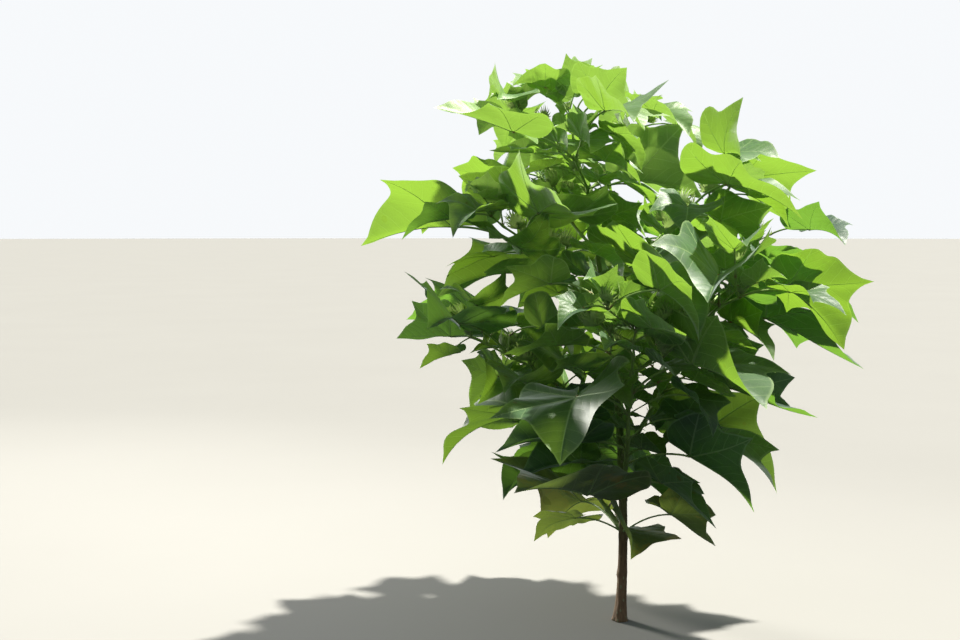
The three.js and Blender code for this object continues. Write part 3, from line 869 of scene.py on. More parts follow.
@dataclass
class FineGrowth:
    """Carries the plan on to finer twigs, smaller leaves and smaller squares, within its reach."""

    plan: PlantPlan
    margin_share: float = 0.5
    twig_length: float = 34
    twig_radius: float = 0.85
    twig_end_radius: float = 0.7
    twig_clear: float = 3.0
    twig_clear_from: float = 0.35
    twig_leaf_shares: tuple[float, float] = (0.42, 0.62)
    bare_node_leaf_share: float = 0.55
    square_share: float = 0.75
    square_chance: float = 0.55
    tuft_count: int = 4
    tuft_size: float = 32
    bud_share: float = 0.32

    def sprays(self) -> list[Spray]:
        """Grows all that stands in the place of the foliage nodes.

        Returns:
            A spray for each of them, finer growth included.
        """
        found = self.plan.sprays()
        low, high = CAD_BOX
        space = self.plan.growth.space
        space.keep_within(np.array(low) / MM, np.array(high) / MM)
        space.margins *= self.margin_share
        self.plan.growth.blade_margin *= self.margin_share
        by_node = {spray.node: spray for spray in found}
        for branch in self.plan.branches:
            spray = by_node[branch.name("foliage")]
            self.fill_bough(spray, branch)
            self.fill_twig(spray, branch)
        for spray in found:
            if spray.node.startswith("stem_leaf"):
                self.fill_axil(spray)
        for branch in self.plan.branches:
            spray = by_node[branch.name("foliage")]
            for end in (branch.nodes[-1], *branch.sides):
                self.add_tuft(spray, end, self.tuft_size * (0.7 + 0.3 * branch.share))
        top = TwigNode(self.plan.tip_line[1], radians(150), radians(75))
        self.add_tuft(found[-1], top, self.tuft_size * 1.35)
        return found

    def fill_bough(self, spray: Spray, branch: Branch) -> None:
        """Grows leaves from the nodes along a bough.

        Args:
            spray: What they belong to.
            branch: The bough's branch.
        """
        full = self.plan.blade_length(branch.node)
        azimuth = branch.nodes[0].azimuth
        for index, place in enumerate(branch.bough_nodes()):
            turn = azimuth + (1.3 if index % 2 else -1.3)
            seed = 4000 + branch.node * 20 + index
            size = full * (0.62 if branch.fruiting else 0.72)
            leaf = self.plan.growth.leaf(place, turn, radians(18), size, seed)
            keep(leaf, spray.leaves)

    def fill_twig(self, spray: Spray, branch: Branch) -> None:
        """Grows fine twigs, each with a leaf and some with a square.

        Args:
            spray: What they belong to.
            branch: The branch whose twig has them.
        """
        growth = self.plan.growth
        full = self.plan.blade_length(branch.node)
        for index, at in enumerate([*branch.nodes, *branch.sides]):
            for side in (-1, 1):
                seed = 5000 + branch.node * 60 + index * 2 + (side > 0)
                numbers = Numbers(seed)
                turn = at.azimuth + side * numbers.between(0.7, 1.7)
                rise = numbers.between(0.15, 1.0)
                length = self.twig_length * branch.share * numbers.between(0.7, 1.1)
                end = at.point + heading(turn, rise) * length
                if self.is_clear(at.point, end):
                    line = np.array([at.point, end])
                    spray.limbs.append(Limb(line, self.twig_radius, self.twig_end_radius))
                    size = full * numbers.between(*self.twig_leaf_shares)
                    keep(growth.leaf(end, turn, rise * 0.5, size, seed + 2000), spray.leaves)
                    if Numbers(seed + 4000).draw() < self.square_chance:
                        size = branch.share * self.square_share
                        square = growth.square(end, turn, radians(60), size, seed + 4000)
                        keep(square, spray.squares)
                else:
                    size = full * self.bare_node_leaf_share
                    leaf = growth.leaf(at.point, turn, rise * 0.5, size, seed + 2000)
                    keep(leaf, spray.leaves)

    def is_clear(self, start: Array, end: Array) -> bool:
        """Takes the room of a fine twig, apart from its first third.

        Args:
            start: Where it begins.
            end: Where it ends.

        Returns:
            True where the room was free.
        """
        space = self.plan.growth.space
        inner = start + (end - start) * self.twig_clear_from
        outer = spaced(np.array([inner, end]), self.plan.growth.limb_step)
        clear = space.is_free(outer, np.full(len(outer), self.twig_clear))
        if clear:
            space.take(outer, self.twig_clear)
        return clear

    def add_tuft(self, spray: Spray, at: TwigNode, size: float) -> None:
        """Stands a tuft of folded young leaves and a tiny square at a growing point.

        Args:
            spray: The spray that they belong to.
            at: The growing point.
            size: Length of the longest leaf.
        """
        growth = self.plan.growth
        for index in range(self.tuft_count):
            numbers = Numbers(7000 + spray.stem_node * 60 + len(spray.leaves))
            turn = at.azimuth + 2.4 * index + numbers.between(-0.3, 0.3)
            rise = radians(numbers.between(40, 72))
            length = size * (1 - 0.16 * index)
            leaf = growth.plan(at.point, turn, rise, length, numbers, 0)
            steep = rise - radians(numbers.between(-4, 34))
            forward = heading(turn, steep)
            up = heading(turn, steep + math.pi / 2)
            pose = {"forward": forward, "up": up, "side": np.cross(up, forward)}
            leaf.blade = replace(leaf.blade, **pose, fold=0.95, droop=numbers.between(0.3, 0.9))
            leaf.seed = 9500 + spray.stem_node * 60 + len(spray.leaves)
            spray.leaves.append(leaf)
        axis = heading(at.azimuth, radians(70))
        foot = at.point + axis * 5
        length = growth.square_length * self.bud_share
        spray.squares.append(Square(at.point, foot, axis, length, at.azimuth))

    def fill_axil(self, spray: Spray) -> None:
        """Grows smaller leaves in the axil of a main-stem leaf.

        Args:
            spray: What they belong to.
        """
        stem = self.plan.stem
        node = spray.stem_node
        anchor = stem.point(stem.node_height(node) + 3)
        full = self.plan.blade_length(node)
        for index, step in enumerate((1.2, -1.5, 2.9)):
            azimuth = stem.node_azimuth(node) + step
            seed = 6000 + node * 10 + index
            leaf = self.plan.growth.leaf(anchor, azimuth, radians(30), full * 0.6, seed)
            keep(leaf, spray.leaves)


# Meshes


@dataclass
class Draft:
    """Points and faces of one piece, gathered before its mesh is made."""

    points: list[Array] = field(default_factory=list)
    faces: list[Array] = field(default_factory=list)
    finishes: list[int] = field(default_factory=list)
    maps: dict[str, list[Array]] = field(default_factory=dict)
    count: int = 0

    def add(
        self,
        points: Array,
        faces: list[Array],
        finish: int = 0,
        maps: dict[str, Array] | None = None,
    ) -> None:
        """Adds points with their faces.

        Args:
            points: Places in millimetres.
            faces: Arrays of triangles and quads, by number of point.
            finish: Which of the piece's finishes they take.
            maps: Flat coordinates of each point, by name of map.
        """
        points = points.reshape(-1, 3)
        self.points.append(points)
        for group in faces:
            self.faces.append(group + self.count)
            self.finishes.append(finish)
        for name, places in (maps or {}).items():
            self.maps.setdefault(name, []).append(places.reshape(-1, 2))
        self.count += len(points)

    def piece(self, name: str, finishes: list[Material]) -> bpy.types.Object:
        """Makes the piece.

        Args:
            name: Name of the piece.
            finishes: Its materials.

        Returns:
            The object, in the scene.
        """
        corners = np.concatenate([group.ravel() for group in self.faces])
        sides = np.concatenate([np.full(len(group), group.shape[1]) for group in self.faces])
        finish = np.repeat(self.finishes, [len(group) for group in self.faces])
        mesh = bpy.data.meshes.new(name)
        mesh.vertices.add(self.count)
        mesh.vertices.foreach_set("co", (np.concatenate(self.points) * MM).ravel())
        mesh.loops.add(len(corners))
        mesh.loops.foreach_set("vertex_index", corners)
        mesh.polygons.add(len(sides))
        mesh.polygons.foreach_set("loop_start", np.cumsum(sides) - sides)
        mesh.polygons.foreach_set("material_index", finish)
        mesh.polygons.foreach_set("use_smooth", np.ones(len(sides), dtype=bool))
        for label, places in self.maps.items():
            layer = mesh.uv_layers.new(name=label)
            layer.data.foreach_set("uv", np.concatenate(places)[corners].ravel())
        mesh.update(calc_edges=True)
        mesh.validate()
        for material in finishes:
            mesh.materials.append(material)
        piece = bpy.data.objects.new(name, mesh)
        bpy.context.scene.collection.objects.link(piece)
        return piece


def turns(sides: int) -> Array:
    """Returns the angles of sides spread evenly round."""
    return FULL_TURN * np.arange(sides) / sides


def sheet_faces(rows: int, columns: int) -> Array:
    """Joins the points of an open sheet that are stored row after row.

    Args:
        rows: Number of rows.
        columns: Points in each.

    Returns:
        The quads between them.
    """
    row = np.arange(rows - 1)[:, None] * columns
    column = np.arange(columns - 1)[None, :]
    corners = (row + column, row + columns + column, row + columns + column + 1, row + column + 1)
    return np.stack(corners, axis=-1).reshape(-1, 4)


def ring_faces(rings: int, columns: int) -> Array:
    """Joins closed rings of points that are stored ring after ring.

    Args:
        rings: Number of rings.
        columns: Points in each.

    Returns:
        The quads between them.
    """
    ring = np.arange(rings - 1)[:, None] * columns
    column = np.arange(columns)[None, :]
    after = (column + 1) % columns
    corners = (ring + column, ring + after, ring + columns + after, ring + columns + column)
    return np.stack(corners, axis=-1).reshape(-1, 4)


def fan_faces(centre: int, first: int, columns: int) -> Array:
    """Joins a centre point to a closed ring.

    Args:
        centre: Number of the centre point.
        first: Number of the ring's first point.
        columns: Points in the ring.

    Returns:
        The triangles between them.
    """
    column = np.arange(columns)
    after = (column + 1) % columns
    middle = np.full(columns, centre)
    return np.stack([middle, first + after, first + column], axis=-1)


def disc_faces(rings: int, columns: int) -> list[Array]:
    """Returns the faces of rings that grow outward, with the centre point stored after them."""
    return [ring_faces(rings, columns)[:, ::-1], fan_faces(rings * columns, 0, columns)[:, ::-1]]


def unit(vectors: Array) -> Array:
    """Returns vectors at length one."""
    return vectors / norm(vectors, axis=-1, keepdims=True)


def tube(line: Array, radii: Array, sides: int) -> tuple[Array, list[Array]]:
    """Returns a closed tube down a line.

    Args:
        line: Points down its middle.
        radii: Its radius at each point, or at each point and side.
        sides: Number of its sides.

    Returns:
        Its points and its faces.
    """
    tangents = unit(np.gradient(line, axis=0))
    start = np.cross(tangents[0], (0, 0, 1) if abs(tangents[0][2]) < 0.9 else (0, 1, 0))
    across = [start / norm(start)]
    for tangent in tangents[1:]:
        turned = across[-1] - tangent * across[-1].dot(tangent)
        across.append(turned / norm(turned))
    across = np.array(across)
    other = np.cross(tangents, across)
    angle = turns(sides)[:, None]
    outward = across[:, None] * np.cos(angle) + other[:, None] * np.sin(angle)
    radii = np.broadcast_to(radii.reshape(len(line), -1), (len(line), sides))
    rings = line[:, None, :] + outward * radii[..., None]
    points = np.vstack([rings.reshape(-1, 3), line[:1], line[-1:]])
    last = (len(line) - 1) * sides
    foot = fan_faces(len(points) - 2, 0, sides)
    head = fan_faces(len(points) - 1, last, sides)[:, ::-1]
    return points, [ring_faces(len(line), sides), foot, head]


def eased(line: Array, step: float, rounds: int = 2) -> Array:
    """Rounds off the corners of a line.

    Args:
        line: The line.
        step: Longest stretch between its points.
        rounds: How many times it is smoothed.

    Returns:
        The line, with evenly spaced points.
    """
    points = spaced(line, step)
    for _ in range(rounds):
        points[1:-1] = (points[:-2] + 2 * points[1:-1] + points[2:]) / 4
    return points


def swellings(line: Array, places: Array, reach: float) -> Array:
    """Returns how much each point of a line swells from its nearness to places, from 0 to 1."""
    apart = norm(line[:, None, :] - places[None, :, :], axis=2).min(axis=1)
    return np.exp(-((apart / reach) ** 2))


@dataclass(frozen=True)
class Lobe:
    """A lobe of the margin, in degrees and shares: its source's cusp, and the fuller lobe for it."""

    middle: float
    size: float
    cusp: float
    spread: float
    drawn: float
    tip: float

    def swell(self, turn: Array) -> Array:
        """Returns how far the fuller lobe stands proud of the cusp at turns in radians."""
        off = np.abs(np.degrees(turn) - self.middle)
        body = (1 - self.drawn) * np.exp(-((off / self.spread) ** 2))
        point = self.drawn * np.exp(-off / self.tip)
        return self.size * (body + point - np.exp(-off / self.cusp))


@dataclass
class LeafDetail:
    """The small shape of one leaf: puckers between its veins, rippled rim and curled lobes."""

    seed: int
    veins: tuple[float, ...] = (0, radians(50), radians(108))
    lobes: tuple[Lobe, ...] = (
        Lobe(0, 0.5, 18, 25, 0.26, 5),
        Lobe(50, 0.26, 11.5, 17, 0.3, 4),
        Lobe(110, 0.08, 16, 26, 0.0, 5),
    )

    def __post_init__(self) -> None:
        """Draws the leaf's own amounts."""
        numbers = Numbers(self.seed)
        self.pucker = numbers.between(0.010, 0.024)
        self.ripple = numbers.between(0.012, 0.032)
        self.ripple_count = 6 + math.floor(numbers.draw() * 6)
        self.phase = numbers.between(0, FULL_TURN)
        self.curls = [numbers.between(-0.6, 0.45) for _ in range(3)]
        self.rolls = [numbers.between(-0.8, 1.0) for _ in range(2)]
        self.tone = numbers.draw()

    def hump(self, turn: Array, middle: float, spread: float) -> Array:
        """Returns a smooth hump of turns in radians, round a middle and with a spread in degrees."""
        return np.exp(-(((turn - radians(middle)) / radians(spread)) ** 2))

    def fuller(self, blade: Blade, angle: Array) -> Array:
        """Draws the margin with full lobes, drawn-out tips and a rounded base.

        Args:
            blade: The leaf's blade.
            angle: Turns from the midrib, in radians.

        Returns:
            How far the margin lies from the joint.
        """
        turn = np.abs(np.arctan2(np.sin(angle), np.cos(angle)))
        swell = 0.045 * self.hump(turn, 0, 1.9) + 0.028 * self.hump(turn, 50, 1.9)
        swell = swell + sum(lobe.swell(turn) for lobe in self.lobes)
        uneven = 1 + 0.014 * np.sin(5 * angle + self.phase) + 0.007 * np.sin(9 * angle)
        return (blade.outline(angle) + swell) * uneven

    def off_vein(self, x: Array, y: Array) -> Array:
        """Measures from the main veins.

        Args:
            x: Places along the midrib.
            y: Places across it.

        Returns:
            How far each point lies from the nearest one.
        """
        turn = np.arctan2(np.abs(y), x)
        radius = np.hypot(x, y)
        off = [np.abs(radius * np.sin(np.clip(turn - vein, -1.5, 1.5))) for vein in self.veins]
        return np.minimum.reduce(off)

    def lift(self, x: Array, y: Array, share: Array) -> Array:
        """Raises puckers, the rippled rim and curled lobes.

        Args:
            x: Places along the midrib.
            y: Places across it.
            share: How far out toward the margin each point lies, from 0 to 1.

        Returns:
            The small heights of the blade.
        """
        angle = np.arctan2(y, x)
        radius = np.hypot(x, y)
        puckered = self.pucker * (1 - np.exp(-((self.off_vein(x, y) / 0.06) ** 2)))
        rim = self.ripple * share**3 * np.sin(self.ripple_count * angle + self.phase)
        roll = np.where(y > 0, *self.rolls)
        curled = roll * np.maximum(np.abs(y) - 0.2, 0) ** 2
        for curl, lobe in zip(self.curls, (0, 50, -50)):
            near = self.hump(angle, lobe, 24)
            curled = curled + curl * np.maximum(radius - 0.42, 0) ** 2 * near
        return puckered + rim + curled


@dataclass
class BladeMaker:
    """Makes leaf blades as thin sheets on rays from the stalk's joint, each with its own cell."""

    draft: Draft = field(default_factory=Draft)
    cell_span: float = 1.9
    cell_corner: tuple[float, float] = (0.78, 0.95)
    fine_size: float = 85
    fine_steps: tuple[int, int] = (15, 13)
    plain_steps: tuple[int, int] = (9, 8)

    def rays(self, steps: int) -> Array:
        """Returns the angles of the rays, a number of them from each lobe's tip to the next."""
        corners = [radians(angle) for angle in (0, 50, 110, 180)]
        half = [np.linspace(a, b, steps, endpoint=False) for a, b in zip(corners, corners[1:])]
        right = np.concatenate(half)
        return np.concatenate([right, [math.pi], FULL_TURN - right[:0:-1]])

    def add_sheet(self, leaf: Leaf, finish: int, cell: int, columns: int) -> None:
        """Adds one blade.

        Args:
            leaf: The leaf.
            finish: Which of the piece's finishes it takes.
            cell: Number of its cell in the piece's map.
            columns: Number of cells in a row of the map.
        """
        fine = leaf.blade.length > self.fine_size
        steps, rings = self.fine_steps if fine else self.plain_steps
        detail = LeafDetail(leaf.seed)
        angle = self.rays(steps)[None, :]
        share = (np.arange(1, rings + 1) / rings)[:, None] ** 0.9
        radius = detail.fuller(leaf.blade, angle) * share
        x = radius * np.cos(angle)
        y = radius * np.sin(angle)
        share = np.broadcast_to(share, x.shape)
        sheet = leaf.blade.place(x, y, detail.lift(x, y, share)).reshape(-1, 3)
        centre = np.array([[0.0, 0.0]])
        plan = np.vstack([np.stack([x.ravel(), y.ravel()], axis=-1), centre])
        place = np.stack([np.append(share.ravel(), 0), np.full(len(plan), detail.tone)], axis=-1)
        corner = np.array([cell % columns, cell // columns])
        bake = (corner + (plan + self.cell_corner) / self.cell_span) / columns
        points = np.vstack([sheet, leaf.blade.joint[None, :]])
        maps = {"OFBake": bake, "LeafPlan": plan, "LeafPlace": place}
        self.draft.add(points, disc_faces(rings, angle.size), finish, maps)


@dataclass
class StalkMaker:
    """Makes leaf stalks and, by turn in degrees and reach, the ribs that run on from them."""

    draft: Draft = field(default_factory=Draft)
    radius: float = 1.55
    ribs: tuple[tuple[int, float], ...] = ((0, 0.96), (50, 0.93), (-50, 0.93), (108, 0.8), (-108, 0.8))
    rib_radius: float = 0.0062
    rib_steps: int = 12
    smallest_ribbed: float = 30

    def add_line(self, line: Array, radii: Array, sides: int, finish: int, tone: float) -> None:
        """Adds a stalk or rib, with a map of the share along it and its leaf's tone.

        Args:
            line: Its middle.
            radii: Its radius at each point.
            sides: Number of its sides.
            finish: Which finish it takes.
            tone: The leaf's tone.
        """
        share = np.append(np.repeat(np.linspace(0, 1, len(line)), sides), [0, 1])
        place = np.stack([share, np.full(len(share), tone)], axis=-1)
        self.draft.add(*tube(line, radii, sides), finish, {"StalkPlace": place})

    def add_stalk(self, leaf: Leaf) -> None:
        """Adds a leaf's stalk, thicker at both of its ends.

        Args:
            leaf: The leaf.
        """
        line = bent_line(*leaf.stalk, 12)
        share = np.linspace(0, 1, len(line))
        full = self.radius * min(1, 0.3 + 0.7 * leaf.blade.length / 105)
        ends = 0.5 * np.exp(-((share / 0.05) ** 2)) + 0.3 * np.exp(-(((1 - share) / 0.05) ** 2))
        radii = full * (1 - 0.18 * share + ends)
        self.add_line(line, radii, 8, 0, LeafDetail(leaf.seed).tone)

    def add_ribs(self, leaf: Leaf) -> None:
        """Adds a blade's main ribs, half sunk in its under side.

        Args:
            leaf: The leaf.
        """
        if leaf.blade.length < self.smallest_ribbed:
            return
        detail = LeafDetail(leaf.seed)
        for turn, reach in self.ribs:
            angle = radians(turn)
            edge = float(leaf.blade.outline(np.array([angle]))[0])
            share = np.linspace(0, reach, self.rib_steps)
            x = edge * share * math.cos(angle)
            y = edge * share * math.sin(angle)
            radii = self.rib_radius * (1.12 - share) * (1 if turn == 0 else 0.8)
            lift = detail.lift(x, y, share) - radii * 0.55
            line = leaf.blade.place(x, y, lift)
            self.add_line(line, radii * leaf.blade.length, 5, 1, detail.tone)


@dataclass
class SquareMaker:
    """Makes squares: a short stalk, a bud and three bracts with long teeth."""

    bracts: Draft = field(default_factory=Draft)
    buds: Draft = field(default_factory=Draft)
    tooth_count: int = 11
    rays_per_tooth: int = 6
    rings: int = 7
    half_spread: float = radians(74)
    width_share: float = 0.8
    valley: float = 0.5

    def add(self, square: Square) -> None:
        """Adds one square.

        Args:
            square: Its place and size.
        """
        level = np.cross(UP, square.axis)
        level = level / norm(level)
        upper = np.cross(square.axis, level)
        for number in range(3):
            turn = square.turn + number * FULL_TURN / 3
            outward = level * math.cos(turn) + upper * math.sin(turn)
            self.add_bract(square, outward, np.cross(square.axis, outward))
        self.add_bud(square)

    def edge(self, share: Array) -> tuple[Array, Array]:
        """Draws a bract's toothed edge.

        Args:
            share: Places along it, from -1 to 1.

        Returns:
            The edge, up and across, as shares of the bract's length.
        """
        saw = np.abs((((share + 1) / 2 * self.tooth_count) % 1) - 0.5) * 2
        tooth = (1 - saw) ** 1.7
        reach = (self.valley + (1 - self.valley) * tooth) * (1 - 0.42 * np.abs(share) ** 1.5)
        swing = share * self.half_spread
        return reach * np.cos(swing), self.width_share * reach * np.sin(swing)

    def add_bract(self, square: Square, outward: Array, sideways: Array) -> None:
        """Adds one bract, a cupped sheet round the bud.

        Args:
            square: The square.
            outward: The way that it faces.
            sideways: The way across it.
        """
        columns = self.tooth_count * self.rays_per_tooth + 1
        share = np.linspace(-1, 1, columns)[None, :]
        up_edge, across_edge = self.edge(share)
        ring = np.linspace(0, 1, self.rings)[:, None] ** 0.85
        up = 0.02 + (up_edge - 0.02) * ring
        across = across_edge * ring
        belly = 0.14 + 0.2 * np.sin(math.pi * np.minimum(1, 0.1 + 0.8 * up))
        out = np.maximum(0.05, belly - 0.3 * across**2) * np.minimum(1, up * 6 + 0.25)
        out = out + 0.05 * np.maximum(ring - 0.7, 0) * np.sin(share * 17 + square.turn)
        points = (
            square.foot
            + (up * square.length)[..., None] * square.axis
            + (across * square.length)[..., None] * sideways
            + (out * square.length)[..., None] * outward
        )
        faces = [sheet_faces(self.rings, columns)]
        plan = np.stack([up, across], axis=-1)
        place = np.stack(np.broadcast_arrays(ring, share * 0 + square.turn / FULL_TURN), axis=-1)
        self.bracts.add(points, faces, maps={"LeafPlan": plan, "LeafPlace": place})

    def add_bud(self, square: Square) -> None:
        """Adds the bud and its stalk.

        Args:
            square: The square.
        """
        size = square.length
        share = np.linspace(0, 1, 12)
        line = square.foot + square.axis * (share * size * 0.52)[:, None]
        radii = 0.17 * size * np.sin(math.pi * share**0.8) ** 0.75 + 0.01 * size
        swirl = 1 + 0.05 * np.sin(3 * turns(15) + share[:, None] * 5)
        self.buds.add(*tube(line, radii[:, None] * swirl, 15))
        stalk = np.linspace(0, 1, 7)[:, None]
        line = square.anchor + (square.foot - square.anchor) * stalk
        radii = 0.95 + 0.75 * stalk[:, 0] ** 3 + 0.4 * (1 - stalk[:, 0]) ** 4
        self.buds.add(*tube(line, radii, 9))


@dataclass
class TwigMaker:
    """Makes twigs, swollen at their nodes, with a pair of small stipules at each stalk's foot."""

    draft: Draft = field(default_factory=Draft)
    stipules: Draft = field(default_factory=Draft)
    step: float = 3.2
    sides: int = 10

    def add_limb(self, limb: Limb, swell: float = 0.4) -> None:
        """Adds a twig that swells at the corners of its line.

        Args:
            limb: The twig.
            swell: How much it swells there.
        """
        line = eased(limb.line, self.step)
        share = np.linspace(0, 1, len(line))
        radii = limb.start_radius + (limb.end_radius - limb.start_radius) * share
        radii = radii * (1 + swell * swellings(line, limb.line, 3.5))
        ridges = 1 + 0.05 * np.sin(5 * turns(self.sides))
        self.draft.add(*tube(line, radii[:, None] * ridges, self.sides))

    def add_stipules(self, leaf: Leaf) -> None:
        """Adds two small pointed stipules at the foot of a leaf's stalk.

        Args:
            leaf: The leaf.
        """
        anchor, middle, _ = leaf.stalk
        out = (middle - anchor) / norm(middle - anchor)
        side = np.cross(out, UP)
        side = side / max(norm(side), 1e-6)
        length = 4 + 0.05 * leaf.blade.length
        share = np.linspace(0, 1, 6)[:, None]
        width = np.array([-1, 0, 1])[None, :]
        for hand in (-1, 1):
            ahead = out * 0.75 + side * hand * 0.65
            across = np.cross(ahead, UP)
            spine = anchor + ahead * share * length + np.array(UP) * (share**2 * length * 0.5)
            half = 0.16 * length * np.sin(math.pi * np.clip(share, 0.12, 1) ** 0.7)
            points = spine[:, None, :] + (width * half)[..., None] * across
            points = points - (np.abs(width) * half * 0.5)[..., None] * np.array(UP)
            plan = np.stack(np.broadcast_arrays(share, width * half / length), axis=-1)
            maps = {"LeafPlan": plan, "LeafPlace": np.stack([plan[..., 0] * 0.8, plan[..., 1]], -1)}
            self.stipules.add(points, [sheet_faces(6, 3)], maps=maps)


@dataclass
class BarkMaker:
    """Makes the main stem and the boughs, with their nodes, scars, flutes and rough bark."""

    plan: PlantPlan
    step: float = 1.9
    stem_sides: int = 34
    bough_sides: int = 16
    flute_count: int = 5
    flute_height: float = 34
    flute_depth: float = 0.085
    flute_twist: float = 60
    node_swell: float = 0.2
    node_length: float = 4.2
    scar_swell: float = 0.24
    scar_length: float = 1.3
    scar_drop: float = 3.4
    lump_size: float = 3.4
    lump_stretch: float = 5
    lump_depth: float = 0.022
    foot_lump_depth: float = 0.06

    def roughness(self, points: Array, scale: float, stretch: float) -> Array:
        """Returns bark noise at points, in lumps of a size that are stretched along the height."""
        squeezed = points / (scale, scale, scale * stretch)
        return np.array([noise.noise(Vector(point)) for point in squeezed])

    def stem(self) -> Draft:
        """Shapes the main stem.

        Returns:
            Its points and faces.
        """
        shape = self.plan.stem
        heights = np.arange(0, shape.height, self.step)
        heights = np.append(heights, shape.height)
        line = np.array([shape.point(height) for height in heights])
        radii = np.array([shape.radius(height) for height in heights])[:, None]
        angle = turns(self.stem_sides)
        swell = np.zeros((len(heights), self.stem_sides))
        for node in range(1, shape.node_count):
            over = heights[:, None] - shape.node_height(node)
            toward = 0.6 + 0.4 * np.cos(angle[None, :] - shape.node_azimuth(node))
            swell += self.node_swell * np.exp(-((over / self.node_length) ** 2)) * toward
            scar = np.exp(-(((over + self.scar_drop) / self.scar_length) ** 2))
            swell += self.scar_swell * scar * np.maximum(0, toward - 0.55)
        foot = np.exp(-heights[:, None] / self.flute_height)
        twisted = self.flute_count * angle[None, :] + heights[:, None] / self.flute_twist
        flutes = self.flute_depth * foot * np.cos(twisted)
        rough = line[:, None, :] + radii[..., None] * np.stack(
            [np.cos(angle), np.sin(angle), np.zeros_like(angle)], axis=-1
        )
        rough = rough.reshape(-1, 3)
        lumps = self.roughness(rough, self.lump_size, self.lump_stretch).reshape(swell.shape)
        lumps = lumps * (self.lump_depth + self.foot_lump_depth * foot)
        relief = 1 + swell + flutes + lumps
        draft = Draft()
        points, faces = tube(line, radii * relief, self.stem_sides)
        points[:, 2] = np.maximum(points[:, 2], 0)
        draft.add(points, faces)
        return draft

    def bough(self, branch: Branch) -> Draft:
        """Shapes one bough, with a collar where it leaves the main stem.

        Args:
            branch: The bough's branch.

        Returns:
            Its points and faces.
        """
        line = eased(bent_line(*branch.bough, 16), self.step, 0)
        share = np.linspace(0, 1, len(line))
        radii = branch.radius + (branch.tip_radius - branch.radius) * share
        clear = self.plan.stem.radius(branch.bough[0][2])
        along = norm(line - branch.bough[0], axis=1)
        collar = 0.75 * np.exp(-np.maximum(along - clear, 0) / 4.5)
        swell = 0.3 * swellings(line, branch.bough_nodes(), 3.5)
        swell = swell + 0.3 * swellings(line, line[-1:], 4)
        angle = turns(self.bough_sides)
        ribs = 0.035 * np.sin(5 * angle)[None, :]
        spread = np.repeat(line[:, None, :], self.bough_sides, axis=1)
        spread[..., 2] += 9 * angle
        lumps = self.roughness(spread.reshape(-1, 3), 4.5, 1.5).reshape(len(line), -1)
        draft = Draft()
        relief = 1 + (collar + swell)[:, None] + ribs + 0.06 * lumps
        draft.add(*tube(line, radii[:, None] * relief, self.bough_sides))
        return draft


# Finishes


Colour = tuple[float, float, float]
FLOAT = "NodeSocketFloat"
COLOUR = "NodeSocketColor"
VECTOR = "NodeSocketVector"


class Value:
    """A number that changes over a surface; the usual signs add the nodes that work on it."""

    def __init__(self, wiring: "Wiring", socket: Socket) -> None:
        """Keeps the socket that puts the number out."""
        self.wiring = wiring
        self.socket = socket

    def __add__(self, other: "Value | float") -> "Value":
        """Returns the sum."""
        return self.wiring.math("ADD", self, other)

    def __sub__(self, other: "Value | float") -> "Value":
        """Returns the difference."""
        return self.wiring.math("SUBTRACT", self, other)

    def __rsub__(self, other: float) -> "Value":
        """Returns what is left of a plain number."""
        return self.wiring.math("SUBTRACT", other, self)

    def __mul__(self, other: "Value | float") -> "Value":
        """Returns the product."""
        return self.wiring.math("MULTIPLY", self, other)

    def __truediv__(self, other: "Value | float") -> "Value":
        """Returns the quotient."""
        return self.wiring.math("DIVIDE", self, other)

    def __abs__(self) -> "Value":
        """Returns the size, whatever the sign."""
        return self.wiring.math("ABSOLUTE", self)

    def above(self, limit: float) -> "Value":
        """Returns 1 where the number is above a limit, and 0 elsewhere."""
        return self.wiring.math("GREATER_THAN", self, limit)

    def highest(self, other: "Value") -> "Value":
        """Returns the higher of two numbers."""
        return self.wiring.math("MAXIMUM", self, other)

    def band(self, low: "Value | float", high: "Value | float") -> "Value":
        """Returns a smooth step, from 0 where the number is low to 1 where it is high."""
        feeds = {"Value": self, "From Min": low, "From Max": high}
        return self.wiring.value("MapRange", feeds, interpolation_type="SMOOTHSTEP")


